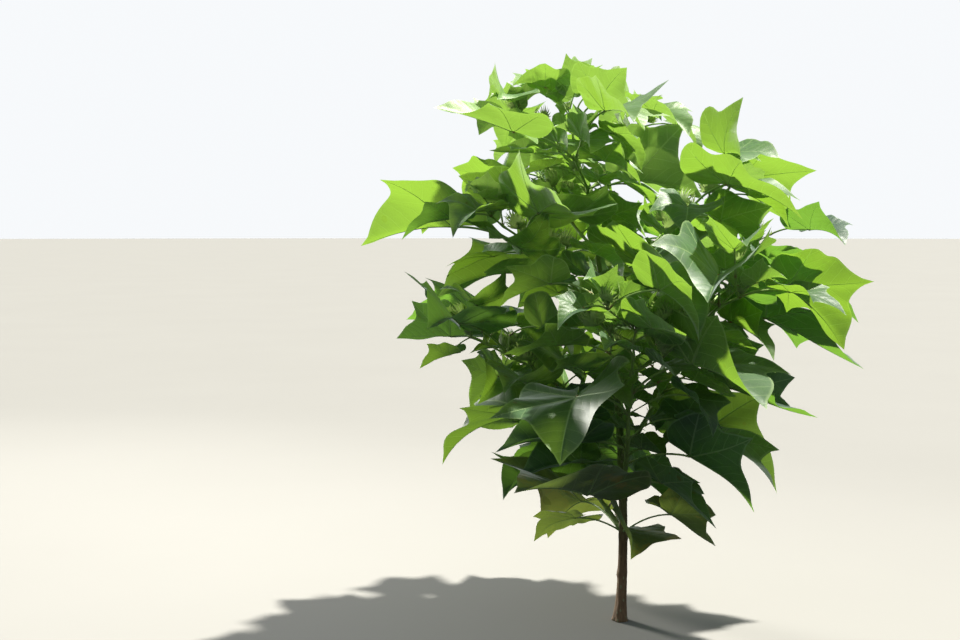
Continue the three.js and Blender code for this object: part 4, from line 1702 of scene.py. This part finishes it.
class Wiring:
    """Adds nodes to one node tree and feeds each from other nodes or plain values."""

    def __init__(self, tree: bpy.types.NodeTree) -> None:
        """Keeps the tree that the nodes go into."""
        self.tree = tree

    def feed(self, socket: Socket, given: object) -> None:
        """Links a socket to what it is given, or sets its plain value.

        Args:
            socket: The socket.
            given: What goes into it.
        """
        if isinstance(given, Value):
            given = given.socket
        if isinstance(given, Socket):
            self.tree.links.new(given, socket)
        elif socket.type == "RGBA":
            socket.default_value = (*given, 1)
        else:
            socket.default_value = given

    def add(self, kind: str, feeds: dict | None = None, **settings: object) -> bpy.types.Node:
        """Adds a node.

        Args:
            kind: Its type, without the words ShaderNode.
            feeds: What goes into its inputs, by name or number.
            settings: Its own settings.

        Returns:
            The node.
        """
        node = self.tree.nodes.new(f"ShaderNode{kind}")
        for name, setting in settings.items():
            setattr(node, name, setting)
        for name, given in (feeds or {}).items():
            self.feed(node.inputs[name], given)
        return node

    def value(self, kind: str, feeds: dict, output: str | int = 0, **settings: object) -> Value:
        """Adds a node and returns one of its outputs as a number."""
        return Value(self, self.add(kind, feeds, **settings).outputs[output])

    def math(self, operation: str, *given: "Value | float", clamp: bool = False) -> Value:
        """Returns the outcome of a sum on one or two numbers."""
        feeds = dict(enumerate(given))
        return self.value("Math", feeds, operation=operation, use_clamp=clamp)

    def parts(self, vector: Socket) -> list[Value]:
        """Returns the three parts of a vector."""
        return [Value(self, part) for part in self.add("SeparateXYZ", {0: vector}).outputs]

    def flat_map(self, name: str) -> Socket:
        """Returns one of the piece's flat maps, as coordinates."""
        return self.add("UVMap", uv_map=name).outputs[0]

    def scaled(self, vector: object, scale: tuple[float, float, float]) -> Socket:
        """Returns coordinates scaled on each axis."""
        return self.add("Mapping", {"Vector": vector, "Scale": scale}).outputs[0]

    def mix(self, share: object, first: object, second: object) -> Socket:
        """Returns a mix of two colours."""
        feeds = {0: share, 6: first, 7: second}
        return self.add("Mix", feeds, data_type="RGBA").outputs[2]

    def toned(self, colour: object, **tone: object) -> Socket:
        """Returns a colour with another hue, saturation or value."""
        feeds = {name.capitalize(): amount for name, amount in tone.items()}
        return self.add("HueSaturation", {**feeds, "Color": colour}).outputs[0]

    def noise(self, vector: object, scale: float, detail: float = 3.0) -> Value:
        """Returns a noise from 0 to 1 over coordinates."""
        feeds = {"Vector": vector, "Scale": scale, "Detail": detail, "Roughness": 0.58}
        return self.value("TexNoise", feeds, "Fac")

    def spots(
        self, vector: object, scale: float, amount: Value, size: float, axes: str = "3D"
    ) -> Value:
        """Scatters round spots.

        Args:
            vector: The coordinates.
            scale: How close together they may be.
            amount: The share of the places that have one.
            size: Size of the largest.
            axes: Whether they lie in a plane or in space.

        Returns:
            1 in a spot, and 0 elsewhere.
        """
        feeds = {"Vector": vector, "Scale": scale}
        cells = self.add("TexVoronoi", feeds, voronoi_dimensions=axes).outputs
        chance = self.value("SeparateColor", {0: cells["Color"]})
        reach = (chance + amount - 1.0) * size
        return (reach - Value(self, cells["Distance"])).band(0.0, 0.07)

    def bump(self, height: object, strength: float, distance: float) -> Socket:
        """Returns the normal of a relief."""
        feeds = {"Height": height, "Strength": strength, "Distance": distance}
        return self.add("Bump", feeds).outputs[0]


class SharedGroup:
    """A node group that several finishes place, built once."""

    name = ""
    inputs: dict[str, str] = {}
    outputs: dict[str, str] = {}

    def __init__(self) -> None:
        """Makes the group's sockets and wires what lies between them."""
        self.tree = bpy.data.node_groups.new(self.name, "ShaderNodeTree")
        for side, sockets in (("INPUT", self.inputs), ("OUTPUT", self.outputs)):
            for label, kind in sockets.items():
                self.tree.interface.new_socket(label, in_out=side, socket_type=kind)
        wiring = Wiring(self.tree)
        start = self.tree.nodes.new("NodeGroupInput").outputs
        given = {
            label: Value(wiring, start[label]) if kind == FLOAT else start[label]
            for label, kind in self.inputs.items()
        }
        end = self.tree.nodes.new("NodeGroupOutput").inputs
        for label, outcome in self.wire(wiring, given).items():
            wiring.feed(end[label], outcome)

    def wire(self, wiring: Wiring, given: dict) -> dict:
        """Wires the group's nodes from what comes in, and returns what goes out, by name."""
        raise NotImplementedError

    def place(self, wiring: Wiring, feeds: dict) -> bpy.types.bpy_prop_collection:
        """Places the group in another tree and returns its outputs."""
        return wiring.add("Group", feeds, node_tree=self.tree).outputs


class LeafVeins(SharedGroup):
    """Leaf veins: five main ones from the joint, arched side veins and a fine net."""

    name = "Leaf veins"
    inputs = {"Plan": VECTOR, "Main Width": FLOAT, "Side Width": FLOAT, "Side Count": FLOAT}
    outputs = {"Main": FLOAT, "Side": FLOAT, "Net": FLOAT, "Height": FLOAT}

    def wire(self, wiring: Wiring, given: dict) -> dict:
        """Wires the veins over the leaf's plan.

        Args:
            wiring: The group's wiring.
            given: What comes in.

        Returns:
            What goes out.
        """
        x, y, _ = wiring.parts(given["Plan"])
        half = abs(y)
        turn = wiring.math("ARCTAN2", half, x)
        vein = turn.above(radians(24)) * radians(50)
        vein = vein + turn.above(radians(79)) * radians(58)
        cosine = wiring.math("COSINE", vein)
        sine = wiring.math("SINE", vein)
        along = x * cosine + half * sine
        across = half * cosine - x * sine
        off = abs(across)
        main = off / (given["Main Width"] * (1.15 - along))
        main = wiring.math("SUBTRACT", 1.6, main, clamp=True)
        wobble = wiring.noise(given["Plan"], 5.0, 2) - 0.5
        start = along - off * 0.62 - off * off * 1.3 + wobble * 0.05
        hand = across.above(0.0) * 0.5 + y.above(0.0) * 0.27
        beat = wiring.math("FRACT", start * given["Side Count"] + hand)
        between = abs(beat - 0.5)
        side = between / (given["Side Width"] * given["Side Count"])
        side = wiring.math("SUBTRACT", 1.5, side, clamp=True) * (1.0 - off.band(0.16, 0.34))
        net = wiring.value(
            "TexVoronoi",
            {"Vector": given["Plan"], "Scale": 34.0},
            "Distance",
            feature="DISTANCE_TO_EDGE",
            voronoi_dimensions="2D",
        )
        net = 1.0 - net.band(0.0, 0.16)
        height = between.band(0.0, 0.5) * 0.6 - net * 0.16 - side * 0.25
        return {"Main": main, "Side": side, "Net": net, "Height": height}


class LeafSurface(SharedGroup):
    """A leaf's surface: its veins, mottling, pale rim (a paler margin and in part a painted sheen
    highlight), blotches and specks.
    """

    name = "Leaf surface"
    inputs = {
        **dict.fromkeys(("Plan", "Place"), VECTOR),
        **dict.fromkeys(("Blade", "Shaded Blade", "Vein", "Blotch", "Speck"), COLOUR),
        **dict.fromkeys(("Vein Strength", "Blotch Amount", "Speck Amount", "Roughness"), FLOAT),
    }
    outputs = {"Colour": COLOUR, "Roughness": FLOAT, "Height": FLOAT}

    def wire(self, wiring: Wiring, given: dict) -> dict:
        """Wires the surface over the leaf's plan, each leaf with its own tone.

        Args:
            wiring: The group's wiring.
            given: What comes in.

        Returns:
            What goes out.
        """
        out, tone, _ = wiring.parts(given["Place"])
        widths = {"Main Width": 0.011, "Side Width": 0.0046, "Side Count": 7.0}
        veins = LeafVeins().place(wiring, {"Plan": given["Plan"], **widths})
        main, side, net, relief = (Value(wiring, socket) for socket in veins)
        moved = {0: given["Plan"], 1: tone * 40.0}
        own = wiring.add("VectorMath", moved, operation="ADD").outputs[0]
        mottle = wiring.noise(own, 3.2, 4).band(0.34, 0.68)
        colour = wiring.mix(mottle, given["Shaded Blade"], given["Blade"])
        colour = wiring.toned(colour, hue=0.514 - tone * 0.03, value=tone * 0.4 + 0.8)
        shown = main.highest(side * 0.7).highest(net * 0.16) * given["Vein Strength"]
        # Pale rim near the margin, in the vein colour: partly the margin's own paler colour, partly a
        # painted sheen highlight along the curled edge.
        shown = shown.highest(out.band(0.955, 0.985) * 0.75)
        colour = wiring.mix(shown, colour, given["Vein"])
        least = 0.84 - given["Blotch Amount"] * 0.5
        blotch = (wiring.noise(own, 4.5, 5) + out * 0.12).band(least, least + 0.12)
        colour = wiring.mix(blotch * (1.0 - side * 0.6), colour, given["Blotch"])
        speck = wiring.spots(own, 7.0, given["Speck Amount"] * tone * 1.5, 2.6, "2D")
        colour = wiring.mix(speck * 0.85, colour, given["Speck"])
        grain = wiring.noise(own, 60.0, 2)
        rough = given["Roughness"] + blotch * 0.2 + (grain - 0.5) * 0.12
        return {"Colour": colour, "Roughness": rough, "Height": relief + grain * 0.08}


class RindSurface(SharedGroup):
    """The rind of stem, boughs, twigs and stalks: red flush, streaks, lenticels and fissures."""

    name = "Rind surface"
    inputs = {
        "Position": VECTOR,
        **dict.fromkeys(("Base", "Flush", "Lenticel"), COLOUR),
        **dict.fromkeys(("Flush Amount", "Upper Flush", "Lenticel Amount"), FLOAT),
        **dict.fromkeys(("Fissure Amount", "Roughness"), FLOAT),
    }
    outputs = {"Colour": COLOUR, "Roughness": FLOAT, "Height": FLOAT}

    def wire(self, wiring: Wiring, given: dict) -> dict:
        """Wires the rind over the plant's own coordinates.

        Args:
            wiring: The group's wiring.
            given: What comes in.

        Returns:
            What goes out.
        """
        where = given["Position"]
        facing = wiring.add("NewGeometry").outputs["Normal"]
        upward = wiring.parts(facing)[2]
        clouds = wiring.noise(where, 24.0, 4)
        streaks = wiring.noise(wiring.scaled(where, (1.0, 1.0, 0.12)), 420.0, 4)
        flush = clouds + given["Flush Amount"] + upward.band(-0.2, 0.9) * given["Upper Flush"]
        flush = (flush + (streaks - 0.5) * 0.35).band(0.72, 1.18)
        colour = wiring.mix(flush, given["Base"], given["Flush"])
        colour = wiring.toned(colour, value=streaks * 0.4 + 0.8)
        squat = wiring.scaled(where, (1.0, 1.0, 0.55))
        lenticel = wiring.spots(squat, 290.0, given["Lenticel Amount"], 0.9)
        colour = wiring.mix(lenticel * 0.8, colour, given["Lenticel"])
        cracks = wiring.noise(wiring.scaled(where, (1.0, 1.0, 0.1)), 900.0, 5)
        crack = cracks.band(0.56, 0.42) * given["Fissure Amount"]
        colour = wiring.toned(colour, value=1.0 - crack * 0.5)
        height = lenticel * 0.7 - crack + streaks * 0.25
        rough = given["Roughness"] + crack * 0.2 + (clouds - 0.5) * 0.15
        return {"Colour": colour, "Roughness": rough, "Height": height}


def new_material(name: str) -> tuple[Material, Wiring, Socket]:
    """Returns an empty material, its wiring and the socket of its surface."""
    material = bpy.data.materials.new(name)
    material.use_nodes = True
    wiring = Wiring(material.node_tree)
    material.node_tree.nodes.clear()
    return material, wiring, wiring.add("OutputMaterial").inputs["Surface"]


def thin_sheet(wiring: Wiring, feeds: dict, glow: Colour, share: float) -> Socket:
    """Wires a thin sheet that lets light through.

    Args:
        wiring: The material's wiring.
        feeds: What goes into the reflecting shader.
        glow: Colour of the light let through.
        share: Share of that light.

    Returns:
        The shader's socket.
    """
    shader = wiring.add("BsdfPrincipled", feeds).outputs[0]
    through = {"Color": glow, "Normal": feeds["Normal"]}
    through = wiring.add("BsdfTranslucent", through).outputs[0]
    return wiring.add("MixShader", {0: share, 1: shader, 2: through}).outputs[0]


@dataclass(frozen=True)
class Finish:
    """A finish, whose fields feed the sockets of the same names in a shared group."""

    name: str

    def feeds(self, group: SharedGroup) -> dict:
        """Returns the finish's own values, by name of the group's socket."""
        names = {label: label.lower().replace(" ", "_") for label in group.inputs}
        return {label: getattr(self, name) for label, name in names.items() if hasattr(self, name)}


@dataclass(frozen=True)
class LeafFinish(Finish):
    """The finish of one kind of leaf: its colours in reflected light and in light let through."""

    blade: Colour
    shaded_blade: Colour
    vein: Colour
    glow: Colour
    glow_share: float = 0.44
    blotch: Colour = (0.34, 0.27, 0.04)
    speck: Colour = (0.10, 0.045, 0.015)
    vein_strength: float = 0.8
    blotch_amount: float = 0.0
    speck_amount: float = 0.08
    roughness: float = 0.47
    sheen: float = 0.55
    relief: float = 0.35
    under_value: float = 1.55

    def material(self, surface: LeafSurface) -> Material:
        """Makes the leaf's material, yellower and paler on its under side.

        Args:
            surface: The leaf's surface group.

        Returns:
            The material.
        """
        material, wiring, output = new_material(self.name)
        maps = {"Plan": wiring.flat_map("LeafPlan"), "Place": wiring.flat_map("LeafPlace")}
        skin = surface.place(wiring, {**maps, **self.feeds(surface)})
        under = wiring.toned(skin["Colour"], hue=0.482, saturation=0.84, value=self.under_value)
        below = wiring.add("NewGeometry").outputs["Backfacing"]
        coated = {
            "Base Color": wiring.mix(below, skin["Colour"], under),
            "Roughness": skin["Roughness"],
            "Normal": wiring.bump(skin["Height"], self.relief, 0.0007),
            "Specular IOR Level": 1.0,
            "Sheen Weight": self.sheen,
            "Sheen Roughness": 0.35,
            "Sheen Tint": (0.86, 0.95, 1.0),
        }
        wiring.feed(output, thin_sheet(wiring, coated, self.glow, self.glow_share))
        return material


@dataclass(frozen=True)
class RindFinish(Finish):
    """The finish of a limb: its base colour, red flush, lenticels and fissures."""

    base: Colour
    flush: Colour = (0.20, 0.05, 0.035)
    lenticel: Colour = (0.44, 0.42, 0.22)
    flush_amount: float = 0.2
    upper_flush: float = 0.3
    lenticel_amount: float = 0.35
    fissure_amount: float = 0.1
    roughness: float = 0.5
    relief: float = 0.5

    def base_colour(self, wiring: Wiring, position: Socket) -> object:
        """Returns the colour under the flush."""
        return self.base

    def flush_share(self, wiring: Wiring) -> object:
        """Returns how much of the rind is flushed red."""
        return self.flush_amount

    def material(self, surface: RindSurface) -> Material:
        """Makes the limb's material.

        Args:
            surface: The rind's surface group.

        Returns:
            The material.
        """
        material, wiring, output = new_material(self.name)
        position = wiring.add("TexCoord").outputs["Object"]
        base = {"Position": position, "Base": self.base_colour(wiring, position)}
        flush = {"Flush Amount": self.flush_share(wiring)}
        skin = surface.place(wiring, {**self.feeds(surface), **base, **flush})
        coated = {
            "Base Color": skin["Colour"],
            "Roughness": skin["Roughness"],
            "Normal": wiring.bump(skin["Height"], self.relief, 0.0005),
            "Sheen Weight": 0.15,
            "Sheen Roughness": 0.4,
        }
        wiring.feed(output, wiring.add("BsdfPrincipled", coated).outputs[0])
        return material


@dataclass(frozen=True)
class StemFinish(RindFinish):
    """The main stem's finish, which goes from woody tan at the foot through brown to green."""

    tan: Colour = (0.33, 0.20, 0.10)
    brown: Colour = (0.25, 0.155, 0.07)

    def base_colour(self, wiring: Wiring, position: Socket) -> object:
        """Mixes the colours up the stem.

        Args:
            wiring: The material's wiring.
            position: The plant's coordinates.

        Returns:
            The colour under the flush.
        """
        height = wiring.parts(position)[2] + (wiring.noise(position, 22.0) - 0.5) * 0.09
        lower = wiring.mix(height.band(0.03, 0.13), self.tan, self.brown)
        return wiring.mix(height.band(0.08, 0.24), lower, self.base)


@dataclass(frozen=True)
class StalkFinish(RindFinish):
    """A leaf stalk's finish, flushed red towards both of its ends."""

    def flush_share(self, wiring: Wiring) -> object:
        """Returns the flush along the stalk."""
        along, tone, _ = wiring.parts(wiring.flat_map("StalkPlace"))
        ends = along.band(0.25, 0.0).highest(along.band(0.88, 1.0))
        return ends * 0.3 + tone * 0.14 + self.flush_amount


@dataclass(frozen=True)
class BractFinish(Finish):
    """The finish of bracts and stipules: light green, with fine veins that fan out."""

    blade: Colour
    vein: Colour
    glow: Colour
    tooth: Colour
    vein_count: float = 46.0

    def material(self) -> Material:
        """Makes the bracts' material.

        Returns:
            The material.
        """
        material, wiring, output = new_material(self.name)
        plan = wiring.flat_map("LeafPlan")
        out = wiring.parts(wiring.flat_map("LeafPlace"))[0]
        along, across, _ = wiring.parts(plan)
        turn = wiring.math("ARCTAN2", across, along + 0.08)
        vein = wiring.math("SINE", turn * self.vein_count).band(0.35, 1.0)
        colour = wiring.mix(wiring.noise(plan, 7.0).band(0.3, 0.7), self.blade, self.vein)
        colour = wiring.mix(vein * 0.5, colour, self.vein)
        colour = wiring.mix(out.band(0.62, 1.0), colour, self.tooth)
        coated = {
            "Base Color": colour,
            "Roughness": wiring.noise(plan, 30.0) * 0.12 + 0.46,
            "Normal": wiring.bump(vein, 0.5, 0.0004),
            "Sheen Weight": 0.25,
            "Sheen Roughness": 0.4,
        }
        wiring.feed(output, thin_sheet(wiring, coated, self.glow, 0.42))
        return material


class Finishes:
    """Every finish of the plant, as materials."""

    def __init__(self) -> None:
        """Makes the materials."""
        leaf = LeafSurface()
        rind = RindSurface()
        pale = (0.34, 0.50, 0.20)
        kinds = {
            LeafKind.WITHERING: LeafFinish(
                "Leaf, withering olive", (0.15, 0.21, 0.05), (0.10, 0.155, 0.04), (0.36, 0.42, 0.18),
                (0.32, 0.42, 0.05), blotch_amount=0.68, speck_amount=0.22, roughness=0.55,
            ),
            LeafKind.OLD: LeafFinish(
                "Leaf, old olive", (0.11, 0.18, 0.05), (0.07, 0.13, 0.035), (0.30, 0.38, 0.17),
                (0.28, 0.40, 0.05), blotch_amount=0.45, speck_amount=0.14, roughness=0.52,
            ),
            LeafKind.DEEP: LeafFinish(
                "Leaf, deep green", (0.045, 0.125, 0.06), (0.03, 0.09, 0.05), (0.22, 0.36, 0.19),
                (0.20, 0.42, 0.04), speck_amount=0.09, under_value=1.8,
            ),
            LeafKind.MIDDLE: LeafFinish(
                "Leaf, middle green", (0.075, 0.19, 0.055), (0.05, 0.145, 0.045), pale,
                (0.28, 0.50, 0.035), under_value=1.7,
            ),
            LeafKind.BRIGHT: LeafFinish(
                "Leaf, bright green", (0.12, 0.27, 0.06), (0.09, 0.22, 0.05), (0.38, 0.54, 0.22),
                (0.29, 0.51, 0.045), under_value=1.45,
            ),
            LeafKind.YOUNG: LeafFinish(
                "Leaf, young green", (0.17, 0.33, 0.07), (0.13, 0.28, 0.06), (0.42, 0.58, 0.24),
                (0.30, 0.52, 0.06), glow_share=0.4, speck_amount=0.02, under_value=1.3,
            ),
            LeafKind.TENDER: LeafFinish(
                "Leaf, tender lime", (0.24, 0.41, 0.10), (0.19, 0.35, 0.08), (0.46, 0.60, 0.26),
                (0.33, 0.55, 0.09), glow_share=0.38, speck_amount=0.0, sheen=0.35,
                under_value=1.25,
            ),
        }
        self.leaves = {kind: finish.material(leaf) for kind, finish in kinds.items()}
        self.stem = StemFinish(
            "Main stem rind", (0.27, 0.38, 0.10), (0.17, 0.07, 0.035), flush_amount=0.1,
            fissure_amount=0.6, lenticel_amount=0.5, roughness=0.62, relief=0.8,
        ).material(rind)
        self.bough = RindFinish(
            "Bough rind", (0.30, 0.44, 0.12), flush_amount=0.1, upper_flush=0.2
        ).material(rind)
        self.twig = RindFinish(
            "Twig rind", (0.32, 0.47, 0.13), flush_amount=0.06, upper_flush=0.2
        ).material(rind)
        self.stalk = StalkFinish(
            "Leaf stalk rind", (0.33, 0.50, 0.14), (0.28, 0.08, 0.05), flush_amount=0.0,
            upper_flush=0.12, lenticel_amount=0.2, fissure_amount=0.0, roughness=0.45,
        ).material(rind)
        self.rib = RindFinish(
            "Leaf rib rind", (0.34, 0.50, 0.18), (0.32, 0.38, 0.14), flush_amount=0.0,
            upper_flush=0.1, lenticel_amount=0.0, fissure_amount=0.0, roughness=0.45,
        ).material(rind)
        self.bud = RindFinish(
            "Bud rind", (0.32, 0.44, 0.15), (0.45, 0.50, 0.22), flush_amount=0.2,
            upper_flush=0.1, lenticel_amount=0.3, fissure_amount=0.0,
        ).material(rind)
        self.bract = BractFinish(
            "Bract, grey green", (0.30, 0.42, 0.18), (0.48, 0.58, 0.32), (0.42, 0.58, 0.16),
            (0.50, 0.57, 0.30),
        ).material()


# Scene


@dataclass(frozen=True)
class PhotoView:
    """The photograph's camera, from its horizon and the place of the plant's foot in it."""

    width: int = 960
    height: int = 640
    horizon_row: float = 228
    foot_column: float = 620
    foot_row: float = 620
    lens: float = 50
    sensor: float = 36
    camera_height: float = 0.47

    def camera(self) -> None:
        """Makes the camera, looking along +Y and slightly down."""
        focal = self.width * self.lens / self.sensor
        pitch = math.atan((self.height / 2 - self.horizon_row) / focal)
        foot_angle = math.atan((self.foot_row - self.height / 2) / focal) + pitch
        distance = self.camera_height / math.tan(foot_angle)
        depth = distance * math.cos(pitch) + self.camera_height * math.sin(pitch)
        offset = (self.foot_column - self.width / 2) / focal * depth
        data = bpy.data.cameras.new("Camera")
        data.lens = self.lens
        data.sensor_width = self.sensor
        camera = bpy.data.objects.new("Camera", data)
        camera.location = (-offset, -distance, self.camera_height)
        camera.rotation_euler = (math.pi / 2 - pitch, 0, 0)
        bpy.context.scene.collection.objects.link(camera)
        bpy.context.scene.camera = camera


@dataclass
class Studio:
    """A wide pale floor under a pale sky, with a strong lamp above, a soft one behind and a fill."""

    floor_rings: tuple[float, ...] = (0.4, 2.0, 8.0, 60.0)
    sides: int = 64
    middle: tuple[float, float, float] = (0, 0, 0.3)
    toward_key: tuple[float, float, float] = (0.46, 0.2, 1.0)
    sky: Colour = (0.80, 0.91, 1.0)
    sky_strength: float = 0.34
    low_strength: float = 0.07
    backdrop: Colour = (0.93, 0.95, 0.97)

    def floor(self) -> bpy.types.Object:
        """Makes the floor, a flat disc.

        Returns:
            The floor.
        """
        angle = turns(self.sides)
        flat = np.zeros(self.sides)
        rings = [
            np.stack([radius * np.cos(angle), radius * np.sin(angle), flat], -1)
            for radius in self.floor_rings
        ]
        points = np.vstack([*rings, np.zeros((1, 3))]) / MM
        draft = Draft()
        draft.add(points, disc_faces(len(rings), self.sides))
        return draft.piece("Studio_floor", [self.floor_material()])

    def floor_material(self) -> Material:
        """Makes the floor's finish, pale and almost even.

        Returns:
            The material.
        """
        material, wiring, output = new_material("Pale floor")
        position = wiring.add("TexCoord").outputs["Object"]
        clouds = wiring.noise(position, 1.6, 4)
        colour = wiring.mix(clouds, (0.28, 0.275, 0.26), (0.30, 0.295, 0.28))
        shader = wiring.add("BsdfPrincipled", {"Base Color": colour, "Roughness": 0.9})
        wiring.feed(output, shader.outputs[0])
        return material

    def lamp(
        self, name: str, kind: str, place: tuple, energy: float, colour: Colour, **shape: float
    ) -> None:
        """Adds a soft lamp that faces the plant's middle.

        Args:
            name: Its name.
            kind: Its type.
            place: Where it hangs, in metres.
            energy: Its energy.
            colour: Colour of its light.
            shape: Its size or its angle.
        """
        data = bpy.data.lights.new(name, kind)
        data.energy = energy
        data.color = colour
        for label, size in shape.items():
            setattr(data, label, size)
        lamp = bpy.data.objects.new(name, data)
        lamp.location = place
        aim = Vector(self.middle) - Vector(place)
        lamp.rotation_euler = aim.to_track_quat("-Z", "Y").to_euler()
        lamp.visible_camera = False
        bpy.context.scene.collection.objects.link(lamp)

    def build_sky(self) -> None:
        """Makes the pale sky: soft as a light, and plain behind the plant."""
        world = bpy.data.worlds.new("Pale sky")
        world.use_nodes = True
        world.node_tree.nodes.clear()
        wiring = Wiring(world.node_tree)
        rise = wiring.parts(wiring.add("TexCoord").outputs["Generated"])[2]
        strength = rise.band(-0.1, 0.5) * (self.sky_strength - self.low_strength)
        strength = strength + self.low_strength
        soft = wiring.add("Background", {"Color": self.sky, "Strength": strength})
        seen = wiring.add("Background", {"Color": self.backdrop, "Strength": 1.0})
        straight = wiring.add("LightPath").outputs["Is Camera Ray"]
        mixed = {0: straight, 1: soft.outputs[0], 2: seen.outputs[0]}
        mixed = wiring.add("MixShader", mixed).outputs[0]
        wiring.feed(wiring.add("OutputWorld").inputs["Surface"], mixed)
        bpy.context.scene.world = world

    def build(self) -> None:
        """Makes the floor, the lamps and the sky."""
        floor = self.floor()
        for ray in ("diffuse", "transmission", "glossy"):
            setattr(floor, f"visible_{ray}", False)
        key = tuple(Vector(self.middle) + Vector(self.toward_key) * 3)
        self.lamp("Key_lamp", "SUN", key, 8.5, (1.0, 0.965, 0.88), angle=radians(2.5))
        self.lamp("Fill_lamp", "AREA", (-1.9, -2.2, 1.7), 3.5, (0.96, 0.98, 1.0), size=2.2)
        cone = {"spot_size": radians(30), "spot_blend": 0.8, "shadow_soft_size": 0.5}
        self.lamp("Back_lamp", "SPOT", (-2.7, 3.0, 1.35), 850, (1.0, 0.97, 0.9), **cone)
        self.build_sky()
        bpy.context.scene.view_settings.view_transform = "Standard"


@dataclass
class CottonPlant:
    """The whole plant: bark, twigs, stalks, blades and squares, joined by kind and zone."""

    finishes: Finishes
    plan: PlantPlan = field(default_factory=PlantPlan)

    def build(self) -> None:
        """Grows the plan and makes every piece."""
        self.plan.grow()
        sprays = FineGrowth(self.plan).sprays()
        leaves = sum(len(spray.leaves) for spray in sprays)
        squares = sum(len(spray.squares) for spray in sprays)
        log.info("grown: %d leaves, %d squares", leaves, squares)
        self.build_bark()
        for zone in Zone:
            self.build_zone(zone, [spray for spray in sprays if spray.zone is zone])

    def place(self, draft: Draft, name: str, materials: list, slot: str, nodes: list[str]) -> None:
        """Makes a piece and says what it rides on and stands for.

        Args:
            draft: Its points and faces.
            name: Its name.
            materials: Its finishes.
            slot: The slot of its finish; not used.
            nodes: The frame's nodes that it replaces.
        """
        piece = draft.piece(name, materials)
        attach(piece, "root")
        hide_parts(*nodes)
        triangles = sum(len(polygon.vertices) - 2 for polygon in piece.data.polygons)
        log.info("%s: %d triangles for %d nodes", name, triangles, len(nodes))

    def build_bark(self) -> None:
        """Makes the main stem and the boughs."""
        maker = BarkMaker(self.plan)
        self.place(maker.stem(), "main_stem_bark", [self.finishes.stem], "woody_stem", ["main_stem"])
        for branch in self.plan.branches:
            node = branch.name("bough")
            draft = maker.bough(branch)
            self.place(draft, f"{node}_rind", [self.finishes.bough], "green_limb", [node])

    def build_zone(self, zone: Zone, sprays: list[Spray]) -> None:
        """Makes the blades, stalks, twigs and squares of one zone.

        Args:
            zone: The zone.
            sprays: What grows in it.
        """
        name = zone.value[0]
        self.build_blades(name, sprays)
        stalks, twigs, squares = StalkMaker(), TwigMaker(), SquareMaker()
        for spray in sprays:
            for limb in spray.limbs:
                twigs.add_limb(limb)
            for leaf in spray.leaves:
                stalks.add_stalk(leaf)
                stalks.add_ribs(leaf)
                if spray.limbs:
                    twigs.add_stipules(leaf)
            for square in spray.squares:
                squares.add(square)
        look = self.finishes
        nodes = [spray.node for spray in sprays]
        limbed = [spray.node for spray in sprays if spray.limbs]
        budded = [spray.node for spray in sprays if spray.squares]
        for draft, part, materials, slot, stood_for in (
            (stalks.draft, "leaf_stalks", [look.stalk, look.rib], "green_limb", nodes),
            (twigs.draft, "twigs", [look.twig], "green_limb", limbed),
            (twigs.stipules, "stipules", [look.bract], "leaf_young", limbed),
            (squares.bracts, "square_bracts", [look.bract], "leaf_young", budded),
            (squares.buds, "square_buds", [look.bud], "leaf_young", budded),
        ):
            self.place(draft, f"{name}_{part}", materials, slot, stood_for)

    def build_blades(self, zone: str, sprays: list[Spray]) -> None:
        """Makes the leaf blades of one zone, a piece for each leaf slot.

        Args:
            zone: Name of the zone.
            sprays: What grows in it.
        """
        by_slot: dict[str, list[tuple[Leaf, LeafKind, str]]] = {}
        for spray in sprays:
            for index, leaf in enumerate(spray.leaves):
                kind = spray.kind(index)
                by_slot.setdefault(kind.slot, []).append((leaf, kind, spray.node))
        for slot, leaves in by_slot.items():
            kinds = [kind for kind in LeafKind if kind.slot == slot]
            maker = BladeMaker()
            columns = math.ceil(math.sqrt(len(leaves)))
            for cell, (leaf, kind, _) in enumerate(leaves):
                maker.add_sheet(leaf, kinds.index(kind), cell, columns)
            materials = [self.finishes.leaves[kind] for kind in kinds]
            nodes = sorted({node for _, _, node in leaves})
            self.place(maker.draft, f"{zone}_{slot}_blades", materials, slot, nodes)


def write_sizes() -> None:
    """Updates the view layer."""
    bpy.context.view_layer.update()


def main() -> None:
    """Builds the camera, the studio and the plant."""
    logging.basicConfig(level=logging.INFO, format="%(message)s")
    PhotoView().camera()
    Studio().build()
    CottonPlant(Finishes()).build()
    write_sizes()


if __name__ == "__main__":
    main()
